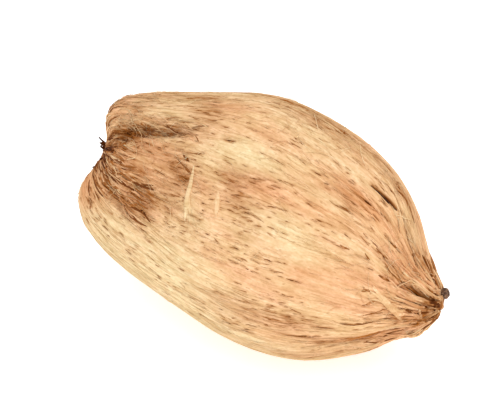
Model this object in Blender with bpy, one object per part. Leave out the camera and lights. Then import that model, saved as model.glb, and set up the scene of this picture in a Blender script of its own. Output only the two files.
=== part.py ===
"""Semi-husked coconut: a whole nut stripped of its skin, with the packed fibres of the husk showing.

The long axis runs along X, from the stem scar at -X to the blunt tip at +X. Three rounded ridges run
from end to end, with a shallow valley between each two. Fibre ridges, creases and slits run along
it. It lies on a small flat spot under its weight, and its origin is under the middle of its box.
"""
from math import cos, pi, radians, sin

import bmesh
import bpy
import numpy as np
from mathutils import Matrix, Vector

NAME = "husk"
MM = 0.001
SEED = 11

# Meridians round the husk, and rings of vertices from the stem scar to the tip
MERIDIANS = 128
RINGS = 32

# All sizes below are in millimetres and all angles in degrees. An angle round the husk starts at -Y
# and rises over +Z, so 90 is the top and 180 is +Y.
LENGTH = 214.0
TOP_RIDGE = 94.0

# Distance from the stem end and radius, along a ridge and along the bottom of a valley, at even steps
# of the place along a meridian, which runs from 0 at the stem scar to 1 at the tip
RIDGE_LINE = [
    (2.5, 0), (6.5, 7), (7.5, 15), (6.2, 23), (7, 31), (13, 39.5), (25, 46), (44, 52.5), (67, 59.5), (92, 65),
    (117, 67.5), (141, 65), (162, 57.5), (178, 46.5), (190, 34), (200, 22.5), (208, 14.5), (213, 6.5), (214, 0),
]
VALLEY_LINE = [
    (2.5, 0), (6.5, 7), (10, 15), (14, 23), (20, 30.5), (29, 38.5), (43, 46.5), (58, 53.5), (76, 60), (96, 65),
    (119, 66), (141, 62.8), (161, 56), (177, 46), (189.5, 33.5), (200, 22), (208, 14), (213, 6.5), (214, 0),
]

# The bent line that the radii stand on: distance from the stem end, then Y and Z
SPINE = [
    (0, 0, 73.5), (43, 0, 69.6), (86, 0.3, 66.0), (129, 0, 61.9), (155, 0, 59.3),
    (173, -1.0, 57), (186, -2.2, 54.2), (199, -3.8, 52.2), (214, -4, 52),
]

# The lower front ridge is the fullest one at the stem end, and the underside is a little flattened
LOWER_RIDGE = -26.0
LOWER_SWELL = 5.5
LOWER_RISE = 4.5
UNDERSIDE = 268.0
UNDER_FLAT = 5.0
FLAT_SPOT_DEPTH = 2.2

# The valley that runs out at the stem end beside the top ridge, and how far it is set back there
NOTCH = 62.0
NOTCH_WIDTH = 24.0
NOTCH_DEPTH = 4.5

# Where the form is a little fuller or flatter than those lines give: place, angle, half length, half
# width and height
FULLNESS = [
    (0.22, -16, 0.045, 26, 0.7), (0.36, -22, 0.07, 26, -1.1), (0.50, -26, 0.07, 26, 0.4), (0.72, -30, 0.05, 26, -2.5),
    (0.81, -30, 0.04, 28, -2.0), (0.885, -24, 0.03, 34, 1.2), (0.50, 114, 0.07, 26, 2.6), (0.72, 112, 0.05, 26, 1.8),
    (0.77, 136, 0.045, 26, 2.2), (0.83, 116, 0.03, 28, 0.5),
]

# Height of the fibre ridges at the two ends and along the body between them
END_RELIEF = 1.8
BODY_RELIEF = 0.7
RELIEF_STATIONS = 8

# Creases between fibre bundles: points as (place along a meridian, angle round), half width and depth.
# A depth below zero is a raised lip.
CREASES = [
    ([(0.19, 52), (0.297, 62), (0.353, 70), (0.401, 73.5), (0.445, 77)], 4.2, 3.6),
    ([(0.13, 38), (0.222, 31), (0.305, 25), (0.363, 17), (0.425, 17)], 4.0, 1.8),
    ([(0.66, -14), (0.723, -12), (0.772, -8), (0.836, -8), (0.926, -32)], 3.4, 1.9),
    ([(0.70, -24), (0.772, -19), (0.836, -19), (0.90, -36)], 3.2, -1.2),
    ([(0.679, 121), (0.709, 114), (0.739, 108), (0.784, 103), (0.86, 98)], 2.6, 1.4),
    ([(0.80, 56), (0.844, 60), (0.882, 60), (0.93, 62)], 2.4, 1.6),
    ([(0.17, 170), (0.25, 164), (0.33, 158), (0.40, 156)], 4.0, 2.6),
    ([(0.16, 268), (0.24, 276), (0.32, 280), (0.40, 279)], 4.0, 2.2),
    ([(0.72, 196), (0.80, 190), (0.88, 186)], 2.8, 1.5),
    ([(0.74, 300), (0.82, 306), (0.90, 300)], 2.8, 1.4),
]

# Open slits along the fibres: place, angle, length and width
SLIT_DEPTH = 2.2
SLITS = [
    (0.706, 100.2, 21, 1.8), (0.670, 91.5, 8, 1.1), (0.60, 128, 12, 1.2), (0.545, 66, 9, 1.1), (0.47, 88, 10, 1.2),
    (0.62, 172, 15, 1.4), (0.52, 203, 11, 1.2), (0.70, 236, 14, 1.4), (0.56, 322, 12, 1.2), (0.42, 300, 10, 1.2),
]

# Loose strands that lie on the surface: points as above, and radius
STRANDS = [
    ([(0.460, 54), (0.464, 50), (0.469, 44), (0.476, 37)], 0.9),
    ([(0.509, 57), (0.515, 52), (0.523, 46), (0.527, 42)], 0.7),
    ([(0.754, 39), (0.785, 34), (0.815, 29), (0.845, 25)], 1.0),
    ([(0.804, 53), (0.812, 62), (0.822, 70), (0.832, 78)], 0.7),
    ([(0.34, 196), (0.36, 205), (0.39, 212), (0.43, 216)], 0.8),
    ([(0.80, 262), (0.83, 252), (0.87, 246), (0.91, 243)], 0.9),
]
STRAND_STEPS = 3

# Dark points of fibre round the stem scar: how far out from it they stand, and their sizes
SPIKES = 11
SPIKE_PLACES = (0.015, 0.07)
SPIKE_LENGTHS = (3.5, 6.5)
SPIKE_RADIUS = 1.9
SPIKE_POINT = 0.35
SPIKE_ROOT = 3.0
SPIKE_SPLAY = 34.0

# The nub beside the blunt tip, on its short stalk: place and angle of the root, then sizes
NUB_PLACE = 0.93
NUB_ANGLE = 118.0
NUB_HEIGHT = 2.6
NUB_RADII = (3.1, 2.6, 2.3)
STALK_RADIUS = 1.5

HUSK_COLOUR = (0.76, 0.468, 0.238, 1.0)
HUSK_ROUGHNESS = 0.85


def spline(places, values):
    """A natural cubic spline through values, one row for each place."""
    places = np.array(places, float)
    values = np.array(values, float)
    count = len(places)
    steps = np.diff(places)
    slopes = np.diff(values, axis=0) / (steps if values.ndim == 1 else steps[:, None])
    bend = np.zeros((count, count))
    pull = np.zeros_like(values)
    bend[0, 0] = bend[-1, -1] = 1
    for i in range(1, count - 1):
        bend[i, i - 1 : i + 2] = steps[i - 1], 2 * (steps[i - 1] + steps[i]), steps[i]
        pull[i] = 6 * (slopes[i] - slopes[i - 1])
    curvature = np.linalg.solve(bend, pull)

    def at(place):
        place = np.clip(np.asarray(place, float), places[0], places[-1])
        i = np.clip(np.searchsorted(places, place, side="right") - 1, 0, count - 2)
        step = steps[i]
        ahead = (place - places[i]) / step
        if values.ndim > 1:
            step = step[..., None]
            ahead = ahead[..., None]
        behind = 1 - ahead
        bow = (behind**3 - behind) * curvature[i] + (ahead**3 - ahead) * curvature[i + 1]
        return behind * values[i] + ahead * values[i + 1] + bow * step**2 / 6

    return at


ridge_at = spline(np.linspace(0, 1, len(RIDGE_LINE)), RIDGE_LINE)
valley_at = spline(np.linspace(0, 1, len(VALLEY_LINE)), VALLEY_LINE)
spine_at = spline([point[0] for point in SPINE], [point[1:] for point in SPINE])


def bump(value, centre, width):
    """1 at the centre, falling to 0 a few widths away."""
    return np.exp(-(((value - centre) / width) ** 2))


def turned(angle, centre):
    """Signed degrees from centre to angle, from -180 to 180."""
    return (angle - centre + 180) % 360 - 180


def form(place, angle):
    """Points of the husk's smooth form, in millimetres, X from the middle of the length."""
    place, angle = np.broadcast_arrays(np.asarray(place, float), np.asarray(angle, float))
    around = np.radians(angle)
    on_ridge = (0.5 + 0.5 * np.cos(3 * (around - radians(TOP_RIDGE))))[..., None]
    outline = valley_at(place) * (1 - on_ridge) + ridge_at(place) * on_ridge
    x, radius = outline[..., 0], outline[..., 1]
    lower = np.maximum(0, np.cos(around - radians(LOWER_RIDGE))) ** 4
    under = np.maximum(0, np.cos(around - radians(UNDERSIDE))) ** 4
    radius = radius + LOWER_SWELL * lower * bump(x, 34, 32) * np.minimum(1, radius / 30)
    radius = radius - UNDER_FLAT * under * bump(x, 132, 36)
    x = x - LOWER_RISE * lower * bump(radius, 22, 15) * (x < 60)
    x = x + NOTCH_DEPTH * bump(turned(angle, NOTCH), 0, NOTCH_WIDTH) * bump(radius, 28, 13) * (x < 60)
    for centre, side, half_length, half_width, height in FULLNESS:
        radius = radius + height * bump(place, centre, half_length) * bump(turned(angle, side), 0, half_width)
    middle = spine_at(x)
    y = middle[..., 0] - radius * np.cos(around)
    z = middle[..., 1] + radius * np.sin(around)
    return np.stack([x - LENGTH / 2, y, z], -1)


def directions(place, angle):
    """Unit vectors along the meridian towards the tip, round the husk and outward."""
    step = 0.002
    place = np.clip(np.asarray(place, float), step, 1 - step)
    along = form(place + step, angle) - form(place - step, angle)
    around = form(place, np.asarray(angle) + 0.5) - form(place, np.asarray(angle) - 0.5)
    along /= np.linalg.norm(along, axis=-1, keepdims=True)
    around /= np.linalg.norm(around, axis=-1, keepdims=True)
    outward = np.cross(along, around)
    outward /= np.linalg.norm(outward, axis=-1, keepdims=True)
    return along, around, outward


def fibre_ridges(place, angle, rng):
    """Height of the coarse fibre bundles: each meridian has its own heights along it."""
    heights = rng.uniform(-1, 1, (RELIEF_STATIONS + 1, MERIDIANS))
    heights = 0.6 * heights + 0.2 * (np.roll(heights, 1, 1) + np.roll(heights, -1, 1))
    meridian = np.round(angle / 360 * MERIDIANS).astype(int) % MERIDIANS
    station = np.clip(place, 0, 0.9999) * RELIEF_STATIONS
    below = station.astype(int)
    blend = station - below
    blend = blend * blend * (3 - 2 * blend)
    height = heights[below, meridian] * (1 - blend) + heights[below + 1, meridian] * blend
    ends = bump(place, 0.2, 0.16) + bump(place, 0.88, 0.1)
    closing = np.minimum(1, np.minimum(place, 1 - place) / 0.1)
    return height * (BODY_RELIEF + (END_RELIEF - BODY_RELIEF) * np.minimum(1, ends)) * closing


def crease_depth(points, path, width, depth):
    """Depth of one crease at each point: deepest on its path, running out at both ends."""
    line_at = spline(np.linspace(0, 1, len(path)), path)
    places = line_at(np.linspace(0, 1, 24))
    line = form(places[:, 0], places[:, 1])
    gaps = np.linalg.norm(points[:, None] - line[None], axis=-1)
    nearest = gaps.argmin(1)
    running_out = np.sin(pi * (nearest + 1) / (len(line) + 1)) ** 0.5
    return depth * running_out * bump(gaps.min(1), 0, width)


def matrix_on(place, angle, height=0.0):
    """Frame on the surface: X along the fibres, Z outward, its origin height above the form."""
    along, around, outward = (Vector(v) for v in directions(place, angle))
    origin = (Vector(form(place, angle)) + outward * height) * MM
    around = outward.cross(along)
    return Matrix.Translation(origin) @ Matrix((along, around, outward)).transposed().to_4x4()


def new_object(name, mesh, collection):
    obj = bpy.data.objects.new(name, mesh)
    collection.objects.link(obj)
    return obj


def husk_body(collection, rng):
    """The husk itself: a sphere with its poles at the two ends, moved onto the form and its relief."""
    bm = bmesh.new()
    bmesh.ops.create_uvsphere(bm, u_segments=MERIDIANS, v_segments=RINGS, radius=1)
    sphere = np.array([vertex.co for vertex in bm.verts])
    place = np.arccos(np.clip(sphere[:, 2], -1, 1)) / pi
    angle = np.degrees(np.arctan2(sphere[:, 1], sphere[:, 0])) % 360
    points = form(place, angle)
    height = fibre_ridges(place, angle, rng)
    for path, width, depth in CREASES:
        height = height - crease_depth(points, path, width, depth)
    outward = directions(place, angle)[2]
    points = (points + outward * height[:, None]) * MM
    for vertex, point in zip(bm.verts, points):
        vertex.co = point
    mesh = bpy.data.meshes.new(NAME)
    bm.to_mesh(mesh)
    bm.free()
    return new_object(NAME, mesh, collection)


def spike(index, collection, rng):
    """One dark fibre point at the stem scar: a thin cone that leans outward, its root sunk in."""
    angle = 360 * (index + rng.uniform(-0.3, 0.3)) / SPIKES
    foot = Vector(form(rng.uniform(*SPIKE_PLACES), angle))
    length = rng.uniform(*SPIKE_LENGTHS) + SPIKE_ROOT
    splay = radians(SPIKE_SPLAY * rng.uniform(0.5, 1.3))
    outward = Vector((0, -cos(radians(angle)), sin(radians(angle))))
    direction = Vector((-cos(splay), 0, 0)) + outward * sin(splay)
    middle = foot + direction * (length / 2 - SPIKE_ROOT)
    place = Matrix.Translation(middle * MM) @ direction.to_track_quat("Z", "Y").to_matrix().to_4x4()
    bm = bmesh.new()
    bmesh.ops.create_cone(
        bm, cap_ends=True, segments=6, radius1=SPIKE_RADIUS * MM, radius2=SPIKE_POINT * MM, depth=length * MM
    )
    bmesh.ops.transform(bm, matrix=place, verts=bm.verts)
    mesh = bpy.data.meshes.new(f"spike_{index}")
    bm.to_mesh(mesh)
    bm.free()
    return new_object(mesh.name, mesh, collection)


def nub(collection):
    """The small dark ball beside the tip, and the stalk that holds it."""
    on_husk = matrix_on(NUB_PLACE, NUB_ANGLE)
    bm = bmesh.new()
    ball = Matrix.Translation((0, 0, NUB_HEIGHT * MM)) @ Matrix.Diagonal([r * MM for r in NUB_RADII] + [1])
    bmesh.ops.create_uvsphere(bm, u_segments=12, v_segments=8, radius=1, matrix=on_husk @ ball)
    mesh = bpy.data.meshes.new("nub")
    bm.to_mesh(mesh)
    bm.free()
    new_object("nub", mesh, collection)
    bm = bmesh.new()
    bmesh.ops.create_cone(
        bm, cap_ends=True, segments=8, radius1=1.5 * STALK_RADIUS * MM, radius2=STALK_RADIUS * MM,
        depth=2 * NUB_HEIGHT * MM, matrix=on_husk,
    )
    mesh = bpy.data.meshes.new("stalk")
    bm.to_mesh(mesh)
    bm.free()
    new_object("stalk", mesh, collection)


def strand(index, path, radius, collection):
    """One loose strand: a tapered tube on a smooth line over the surface, half sunk in."""
    line_at = spline(np.linspace(0, 1, len(path)), path)
    places = line_at(np.linspace(0, 1, STRAND_STEPS * (len(path) - 1) + 1))
    curve = bpy.data.curves.new(f"strand_{index}", "CURVE")
    curve.dimensions = "3D"
    curve.bevel_depth = radius * MM
    curve.bevel_resolution = 1
    curve.use_fill_caps = True
    line = curve.splines.new("POLY")
    line.points.add(len(places) - 1)
    for i, (place, angle) in enumerate(places):
        along = i / (len(places) - 1)
        point = matrix_on(place, angle, height=0.15 * radius).translation
        line.points[i].co = (*point, 1)
        line.points[i].radius = 0.35 + 0.65 * sin(pi * along)
    obj = new_object(curve.name, curve, collection)
    bpy.context.view_layer.update()
    evaluated = obj.evaluated_get(bpy.context.evaluated_depsgraph_get())
    mesh = bpy.data.meshes.new_from_object(evaluated)
    bpy.data.objects.remove(obj)
    bm = bmesh.new()
    bm.from_mesh(mesh)
    bmesh.ops.remove_doubles(bm, verts=bm.verts, dist=0.00001)
    bmesh.ops.recalc_face_normals(bm, faces=bm.faces)
    bm.to_mesh(mesh)
    bm.free()
    return new_object(f"strand_{index}", mesh, collection)


def slit_cutter(index, place, angle, length, width, collection):
    """A thin lens that cuts one open slit along the fibres."""
    lens = Matrix.Diagonal((length / 2 * MM, width / 2 * MM, SLIT_DEPTH * MM, 1))
    bm = bmesh.new()
    bmesh.ops.create_uvsphere(bm, u_segments=10, v_segments=8, radius=1, matrix=matrix_on(place, angle) @ lens)
    mesh = bpy.data.meshes.new(f"slit_{index}")
    bm.to_mesh(mesh)
    bm.free()
    cutter = new_object(mesh.name, mesh, collection)
    cutter.hide_render = True
    cutter.display_type = "WIRE"
    return cutter


def combine(obj, operation, collection):
    """Joins or cuts the object with everything in a collection, which is then emptied."""
    modifier = obj.modifiers.new(operation.lower(), "BOOLEAN")
    modifier.operation = operation
    modifier.operand_type = "COLLECTION"
    modifier.collection = collection
    modifier.solver = "MANIFOLD"
    bpy.context.view_layer.update()
    evaluated = obj.evaluated_get(bpy.context.evaluated_depsgraph_get())
    mesh = bpy.data.meshes.new_from_object(evaluated)
    obj.modifiers.clear()
    obj.data = mesh
    for helper in list(collection.objects):
        bpy.data.objects.remove(helper)
    bpy.data.collections.remove(collection)


def cut_flat_spot(obj):
    """Cuts the underside off level, then stands it on Z = 0 under the middle of its box."""
    bm = bmesh.new()
    bm.from_mesh(obj.data)
    bmesh.ops.triangulate(bm, faces=bm.faces)
    level = min(vertex.co.z for vertex in bm.verts) + FLAT_SPOT_DEPTH * MM
    geometry = bm.verts[:] + bm.edges[:] + bm.faces[:]
    bmesh.ops.bisect_plane(
        bm, geom=geometry, dist=0.0000001, plane_co=(0, 0, level), plane_no=(0, 0, 1), clear_inner=True
    )
    rim = [edge for edge in bm.edges if edge.is_boundary]
    bmesh.ops.holes_fill(bm, edges=rim, sides=0)
    bmesh.ops.triangulate(bm, faces=bm.faces)
    bmesh.ops.recalc_face_normals(bm, faces=bm.faces)
    points = np.array([vertex.co for vertex in bm.verts])
    middle = (points.max(0) + points.min(0)) / 2
    bmesh.ops.translate(bm, vec=(-middle[0], -middle[1], -level), verts=bm.verts)
    bm.to_mesh(obj.data)
    bm.free()


def husk_material():
    material = bpy.data.materials.new("husk_fibre")
    material.use_nodes = True
    shader = material.node_tree.nodes["Principled BSDF"]
    shader.inputs["Base Color"].default_value = HUSK_COLOUR
    shader.inputs["Roughness"].default_value = HUSK_ROUGHNESS
    shader.inputs["Metallic"].default_value = 0.0
    return material


def build():
    for obj in list(bpy.data.objects):
        bpy.data.objects.remove(obj)
    scene_collection = bpy.context.scene.collection
    collection = bpy.data.collections.new("semi_husked_coconut")
    grown_on = bpy.data.collections.new("grown_on")
    cutters = bpy.data.collections.new("cutters")
    for each in (collection, grown_on, cutters):
        scene_collection.children.link(each)

    rng = np.random.default_rng(SEED)
    husk = husk_body(collection, rng)
    for index in range(SPIKES):
        spike(index, grown_on, rng)
    nub(grown_on)
    for index, (path, radius) in enumerate(STRANDS):
        strand(index, path, radius, grown_on)
    for index, (place, angle, length, width) in enumerate(SLITS):
        slit_cutter(index, place, angle, length, width, cutters)
    combine(husk, "UNION", grown_on)
    combine(husk, "DIFFERENCE", cutters)
    cut_flat_spot(husk)
    husk.data.materials.clear()
    husk.data.materials.append(husk_material())
    husk.data.shade_smooth()
    husk.data.set_sharp_from_angle(angle=radians(35))


build()
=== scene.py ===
"""The looks of the semi-husked coconut: packed fibres, creases, loose strands, stem scar and tip."""
from math import cos, pi, radians, sin

import bpy
import numpy as np
from mathutils import Matrix, Vector


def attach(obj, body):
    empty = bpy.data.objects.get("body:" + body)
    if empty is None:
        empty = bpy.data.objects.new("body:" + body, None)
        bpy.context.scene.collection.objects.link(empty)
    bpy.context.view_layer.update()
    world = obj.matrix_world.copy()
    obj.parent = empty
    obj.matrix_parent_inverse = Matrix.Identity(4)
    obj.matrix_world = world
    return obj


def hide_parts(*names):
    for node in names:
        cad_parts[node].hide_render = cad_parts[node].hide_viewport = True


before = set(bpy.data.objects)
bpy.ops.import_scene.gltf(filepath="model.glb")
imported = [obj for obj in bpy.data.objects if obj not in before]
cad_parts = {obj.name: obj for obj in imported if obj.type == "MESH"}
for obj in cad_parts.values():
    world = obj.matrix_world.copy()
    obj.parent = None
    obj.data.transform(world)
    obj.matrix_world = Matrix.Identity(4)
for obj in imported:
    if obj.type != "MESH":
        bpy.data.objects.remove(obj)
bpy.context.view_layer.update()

MM = 0.001
SEED = 5

# The husk's form, as in the CAD part: millimetres, and degrees round it from -Y over +Z. A place along a
# meridian runs from 0 at the stem scar to 1 at the tip.
LENGTH = 214.0
TOP_RIDGE = 94.0
RIDGE_LINE = [
    (2.5, 0), (6.5, 7), (7.5, 15), (6.2, 23), (7, 31), (13, 39.5), (25, 46), (44, 52.5), (67, 59.5),
    (92, 65), (117, 67.5), (141, 65), (162, 57.5), (178, 46.5), (190, 34), (200, 22.5), (208, 14.5),
    (213, 6.5), (214, 0),
]
VALLEY_LINE = [
    (2.5, 0), (6.5, 7), (10, 15), (14, 23), (20, 30.5), (29, 38.5), (43, 46.5), (58, 53.5), (76, 60),
    (96, 65), (119, 66), (141, 62.8), (161, 56), (177, 46), (189.5, 33.5), (200, 22), (208, 14),
    (213, 6.5), (214, 0),
]
SPINE = [
    (0, 0, 73.5), (43, 0, 69.6), (86, 0.3, 66), (129, 0, 61.9), (155, 0, 59.3), (173, -1, 57),
    (186, -2.2, 54.2), (199, -3.8, 52.2), (214, -4, 52),
]
LOWER_RIDGE = -26.0
LOWER_SWELL = 5.5
LOWER_RISE = 4.5
UNDERSIDE = 268.0
UNDER_FLAT = 5.0
NOTCH = 62.0
NOTCH_WIDTH = 24.0
NOTCH_DEPTH = 4.5

# Where the form is a little fuller or flatter than those lines give: place, angle, half length, half
# width and height
FULLNESS = [
    (0.22, -16, 0.045, 26, 0.7), (0.36, -22, 0.07, 26, -1.1), (0.50, -26, 0.07, 26, 0.4),
    (0.72, -30, 0.05, 26, -2.5), (0.81, -30, 0.04, 28, -2), (0.885, -24, 0.03, 34, 1.2),
    (0.50, 114, 0.07, 26, 2.6), (0.72, 112, 0.05, 26, 1.8), (0.77, 136, 0.045, 26, 2.2),
    (0.83, 116, 0.03, 28, 0.5),
]

# Where the form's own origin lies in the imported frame, in millimetres
FORM_ORIGIN = np.array([-0.44, 0.01, -3.35])

# Camera: direction that it looks from in degrees, distance to the middle of the form in metres, lens,
# sensor and nearest visible distance, and how far its aim is off that middle, to the right and up
CAMERA_AZIMUTH = 27.6
CAMERA_ELEVATION = 46.0
CAMERA_DISTANCE = 0.765
CAMERA_LENS = 100.0
CAMERA_SENSOR = 36.0
CAMERA_NEAR = 0.01
CAMERA_AIM = (-0.0091, 0.0073)

# Soft light from all round and from two large lamps: name, place in metres, power in watts and size. The
# floor gives off a little light of its own, as a light table does.
WORLD_LIGHT = 0.95
LIGHTS = [("key", (0.15, 0.0, 1.4), 5, 1.2), ("fill", (1.2, -0.6, 0.8), 2.4, 1.4)]
LIT_POINT = (0, 0, 0.06)
FLOOR_GLOW = 0.45
FLOOR_HALF = 3.0
FLOOR_GREYS = (0.93, 0.95)

# The fine surface: vertices round and rings along, how evenly the rings lie, and the radius of the drum
# that the streaks are laid on
MERIDIANS = 624
RINGS = 158
RING_EVENNESS = 0.65
DRUM_RADIUS = 66.0

# The narrowest slits and dashes that the mesh can show, in millimetres
NARROWEST_SLIT = 1.2
NARROWEST_DASH = 1.1

# How deep below the smooth form the painted shade in the hollows is darkest, in millimetres
DARKEST_SHADE_DEPTH = 3.2

# Meridians whose mean gives the length along the husk
MEASURED = (94, 34, 154)


def spline(places, values):
    """A natural cubic spline through values, one row for each place."""
    places = np.array(places, float)
    values = np.array(values, float)
    count = len(places)
    steps = np.diff(places)
    slopes = np.diff(values, axis=0) / (steps if values.ndim == 1 else steps[:, None])
    bend = np.zeros((count, count))
    pull = np.zeros_like(values)
    bend[0, 0] = bend[-1, -1] = 1
    for i in range(1, count - 1):
        bend[i, i - 1 : i + 2] = steps[i - 1], 2 * (steps[i - 1] + steps[i]), steps[i]
        pull[i] = 6 * (slopes[i] - slopes[i - 1])
    curvature = np.linalg.solve(bend, pull)

    def at(place):
        place = np.clip(np.asarray(place, float), places[0], places[-1])
        i = np.clip(np.searchsorted(places, place, side="right") - 1, 0, count - 2)
        step = steps[i]
        ahead = (place - places[i]) / step
        if values.ndim > 1:
            step = step[..., None]
            ahead = ahead[..., None]
        behind = 1 - ahead
        bow = (behind**3 - behind) * curvature[i] + (ahead**3 - ahead) * curvature[i + 1]
        return behind * values[i] + ahead * values[i + 1] + bow * step**2 / 6

    return at


def through(path):
    """A spline through the points of a path, from 0 at its first to 1 at its last."""
    return spline(np.linspace(0, 1, len(path)), path)


ridge_at = through(RIDGE_LINE)
valley_at = through(VALLEY_LINE)
spine_at = spline([point[0] for point in SPINE], [point[1:] for point in SPINE])


def bump(value, centre, width):
    """1 at the centre, falling to 0 a few widths away."""
    return np.exp(-(((value - centre) / width) ** 2))


def turned(angle, centre):
    """Signed degrees from centre to angle, from -180 to 180."""
    return (angle - centre + 180) % 360 - 180


def form(place, angle):
    """Points of the husk's smooth form, in millimetres, in the form's own frame."""
    place, angle = np.broadcast_arrays(np.asarray(place, float), np.asarray(angle, float))
    around = np.radians(angle)
    on_ridge = (0.5 + 0.5 * np.cos(3 * (around - radians(TOP_RIDGE))))[..., None]
    outline = valley_at(place) * (1 - on_ridge) + ridge_at(place) * on_ridge
    x, radius = outline[..., 0], outline[..., 1]
    lower = np.maximum(0, np.cos(around - radians(LOWER_RIDGE))) ** 4
    under = np.maximum(0, np.cos(around - radians(UNDERSIDE))) ** 4
    radius = radius + LOWER_SWELL * lower * bump(x, 34, 32) * np.minimum(1, radius / 30)
    radius = radius - UNDER_FLAT * under * bump(x, 132, 36)
    x = x - LOWER_RISE * lower * bump(radius, 22, 15) * (x < 60)
    x = x + NOTCH_DEPTH * bump(turned(angle, NOTCH), 0, NOTCH_WIDTH) * bump(radius, 28, 13) * (x < 60)
    for centre, side, half_length, half_width, height in FULLNESS:
        radius = radius + height * bump(place, centre, half_length) * bump(turned(angle, side), 0, half_width)
    middle = spine_at(x)
    y = middle[..., 0] - radius * np.cos(around)
    z = middle[..., 1] + radius * np.sin(around)
    return np.stack([x - LENGTH / 2, y, z], -1)


def directions(place, angle):
    """Unit vectors along the meridian towards the tip, round the husk and outward."""
    step = 0.002
    place = np.clip(np.asarray(place, float), step, 1 - step)
    along = form(place + step, angle) - form(place - step, angle)
    around = form(place, np.asarray(angle) + 0.5) - form(place, np.asarray(angle) - 0.5)
    along /= np.linalg.norm(along, axis=-1, keepdims=True)
    around /= np.linalg.norm(around, axis=-1, keepdims=True)
    outward = np.cross(along, around)
    outward /= np.linalg.norm(outward, axis=-1, keepdims=True)
    return along, around, outward


def lengths_along():
    """Length along the surface from the stem scar, as a function of place, the way back, and the whole."""
    places = np.linspace(0, 1, 400)
    line = sum(form(places, angle) for angle in MEASURED) / len(MEASURED)
    run = np.concatenate([[0], np.cumsum(np.linalg.norm(np.diff(line, axis=0), axis=1))])

    def length_at(place):
        return np.interp(place, places, run)

    def place_at(length):
        return np.interp(length, run, places)

    return length_at, place_at, run[-1]


length_at, place_at, FULL_LENGTH = lengths_along()


def eased(share):
    """0 to 1 with a soft start and a soft end."""
    return share * share * (3 - 2 * share)


def share_along(place):
    """How far along the surface a place lies, from 0 to just under 1."""
    return np.clip(length_at(place) / FULL_LENGTH, 0, 0.9999)


def cell_round(angle, count):
    """Which of so many cells round the husk an angle lies in, and how far across that cell."""
    side = np.asarray(angle) / 360 % 1 * count
    return side.astype(int) % count, side - np.floor(side)


def blended(values, row, down, column, side):
    """The value between four points of a grid whose columns go round the husk."""
    after = (column + 1) % values.shape[1]
    upper = values[row, column] * (1 - side) + values[row, after] * side
    lower = values[row + 1, column] * (1 - side) + values[row + 1, after] * side
    return upper * (1 - down) + lower * down


class Grain:
    """Smooth noise over the husk, from -1 to 1, with so many cells along it and round it."""

    def __init__(self, rng, rows, columns):
        self.rows = rows
        self.columns = columns
        self.values = rng.uniform(-1, 1, (rows + 2, columns))

    def __call__(self, place, angle):
        down = share_along(place) * self.rows
        row = down.astype(int)
        column, side = cell_round(angle, self.columns)
        return blended(self.values, row, eased(down - row), column, eased(side))


class Fibres:
    """Round fibres side by side, so many round the husk, each with its own height along it."""

    def __init__(self, rng, rows, columns):
        self.rows = rows
        self.columns = columns
        self.values = rng.uniform(0, 1, (rows + 3, columns))
        self.starts = rng.uniform(0, 1, columns)

    def __call__(self, place, angle):
        column, side = cell_round(angle, self.columns)
        side = 2 * side - 1
        down = share_along(place) * self.rows + self.starts[column]
        row = down.astype(int)
        down = eased(down - row)
        height = self.values[row, column] * (1 - down) + self.values[row + 1, column] * down
        return np.sqrt(np.maximum(0, 1 - side * side)) * (0.35 + 0.65 * height)

    def seam(self, place, angle):
        """1 where two fibres meet, 0 on their backs."""
        return np.abs(2 * cell_round(angle, self.columns)[1] - 1) ** 7


# Creases between fibre bundles, as in the CAD part: points, half width and depth in millimetres. The
# depth is worked out at so many points along a wide one, and along a narrow one. None shows as far off
# as OUT_OF_REACH, in millimetres.
CREASES = [
    ([(0.19, 52), (0.297, 62), (0.353, 70), (0.401, 73.5), (0.445, 77)], 4.2, 3.6),
    ([(0.13, 38), (0.222, 31), (0.305, 25), (0.363, 17), (0.425, 17)], 4.0, 1.8),
    ([(0.66, -14), (0.723, -12), (0.772, -8), (0.836, -8), (0.926, -32)], 3.4, 1.9),
    ([(0.70, -24), (0.772, -19), (0.836, -19), (0.90, -36)], 3.2, -1.2),
    ([(0.679, 121), (0.709, 114), (0.739, 108), (0.784, 103), (0.86, 98)], 2.6, 1.4),
    ([(0.80, 56), (0.844, 60), (0.882, 60), (0.93, 62)], 2.4, 1.6),
    ([(0.17, 170), (0.25, 164), (0.33, 158), (0.40, 156)], 4.0, 2.6),
    ([(0.16, 268), (0.24, 276), (0.32, 280), (0.40, 279)], 4.0, 2.2),
    ([(0.72, 196), (0.80, 190), (0.88, 186)], 2.8, 1.5),
    ([(0.74, 300), (0.82, 306), (0.90, 300)], 2.8, 1.4),
]
WIDE_CREASE = 2.0
WIDE_STEPS = 24
NARROW_STEPS = 9
OUT_OF_REACH = 99.0

# Open slits along the fibres, painted near black as shade inside them, the more the deeper they are: place,
# angle, length, width and depth in millimetres, and lean, which is how many degrees it turns round the husk
# for each whole husk length that it runs along
SLITS = [
    (0.706, 100.2, 21, 1.5, 2.2, 110), (0.855, 63.5, 9, 3.2, 2, -120), (0.888, 64.5, 5, 2.4, 1.6, 0),
    (0.620, 172, 15, 1.2, 1.8, 40), (0.520, 203, 11, 1, 1.4, 0), (0.700, 236, 14, 1.2, 1.6, -60),
    (0.560, 322, 12, 1, 1.3, 0), (0.420, 300, 10, 1, 1.2, 30), (0.305, 63, 9, 2.6, 1, 0),
    (0.320, 68, 5, 2.2, 1.2, 0), (0.340, 71.5, 9, 2.4, 1, 100), (0.870, 46, 20, 2, 1.2, 0),
    (0.895, 4, 9, 2.2, 1.2, -400), (0.905, 20, 8, 2, 1, -450), (0.920, 38, 8, 2.4, 1.2, -250),
    (0.290, 23.3, 9, 2.2, 1.2, 0), (0.325, 22.3, 9, 2, 1, -80), (0.235, 51.5, 9, 1.8, 1.4, 0),
    (0.260, 37.5, 13, 2, 1.3, 0), (0.275, 33.2, 15, 1.5, 1.3, 0),
]

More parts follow.
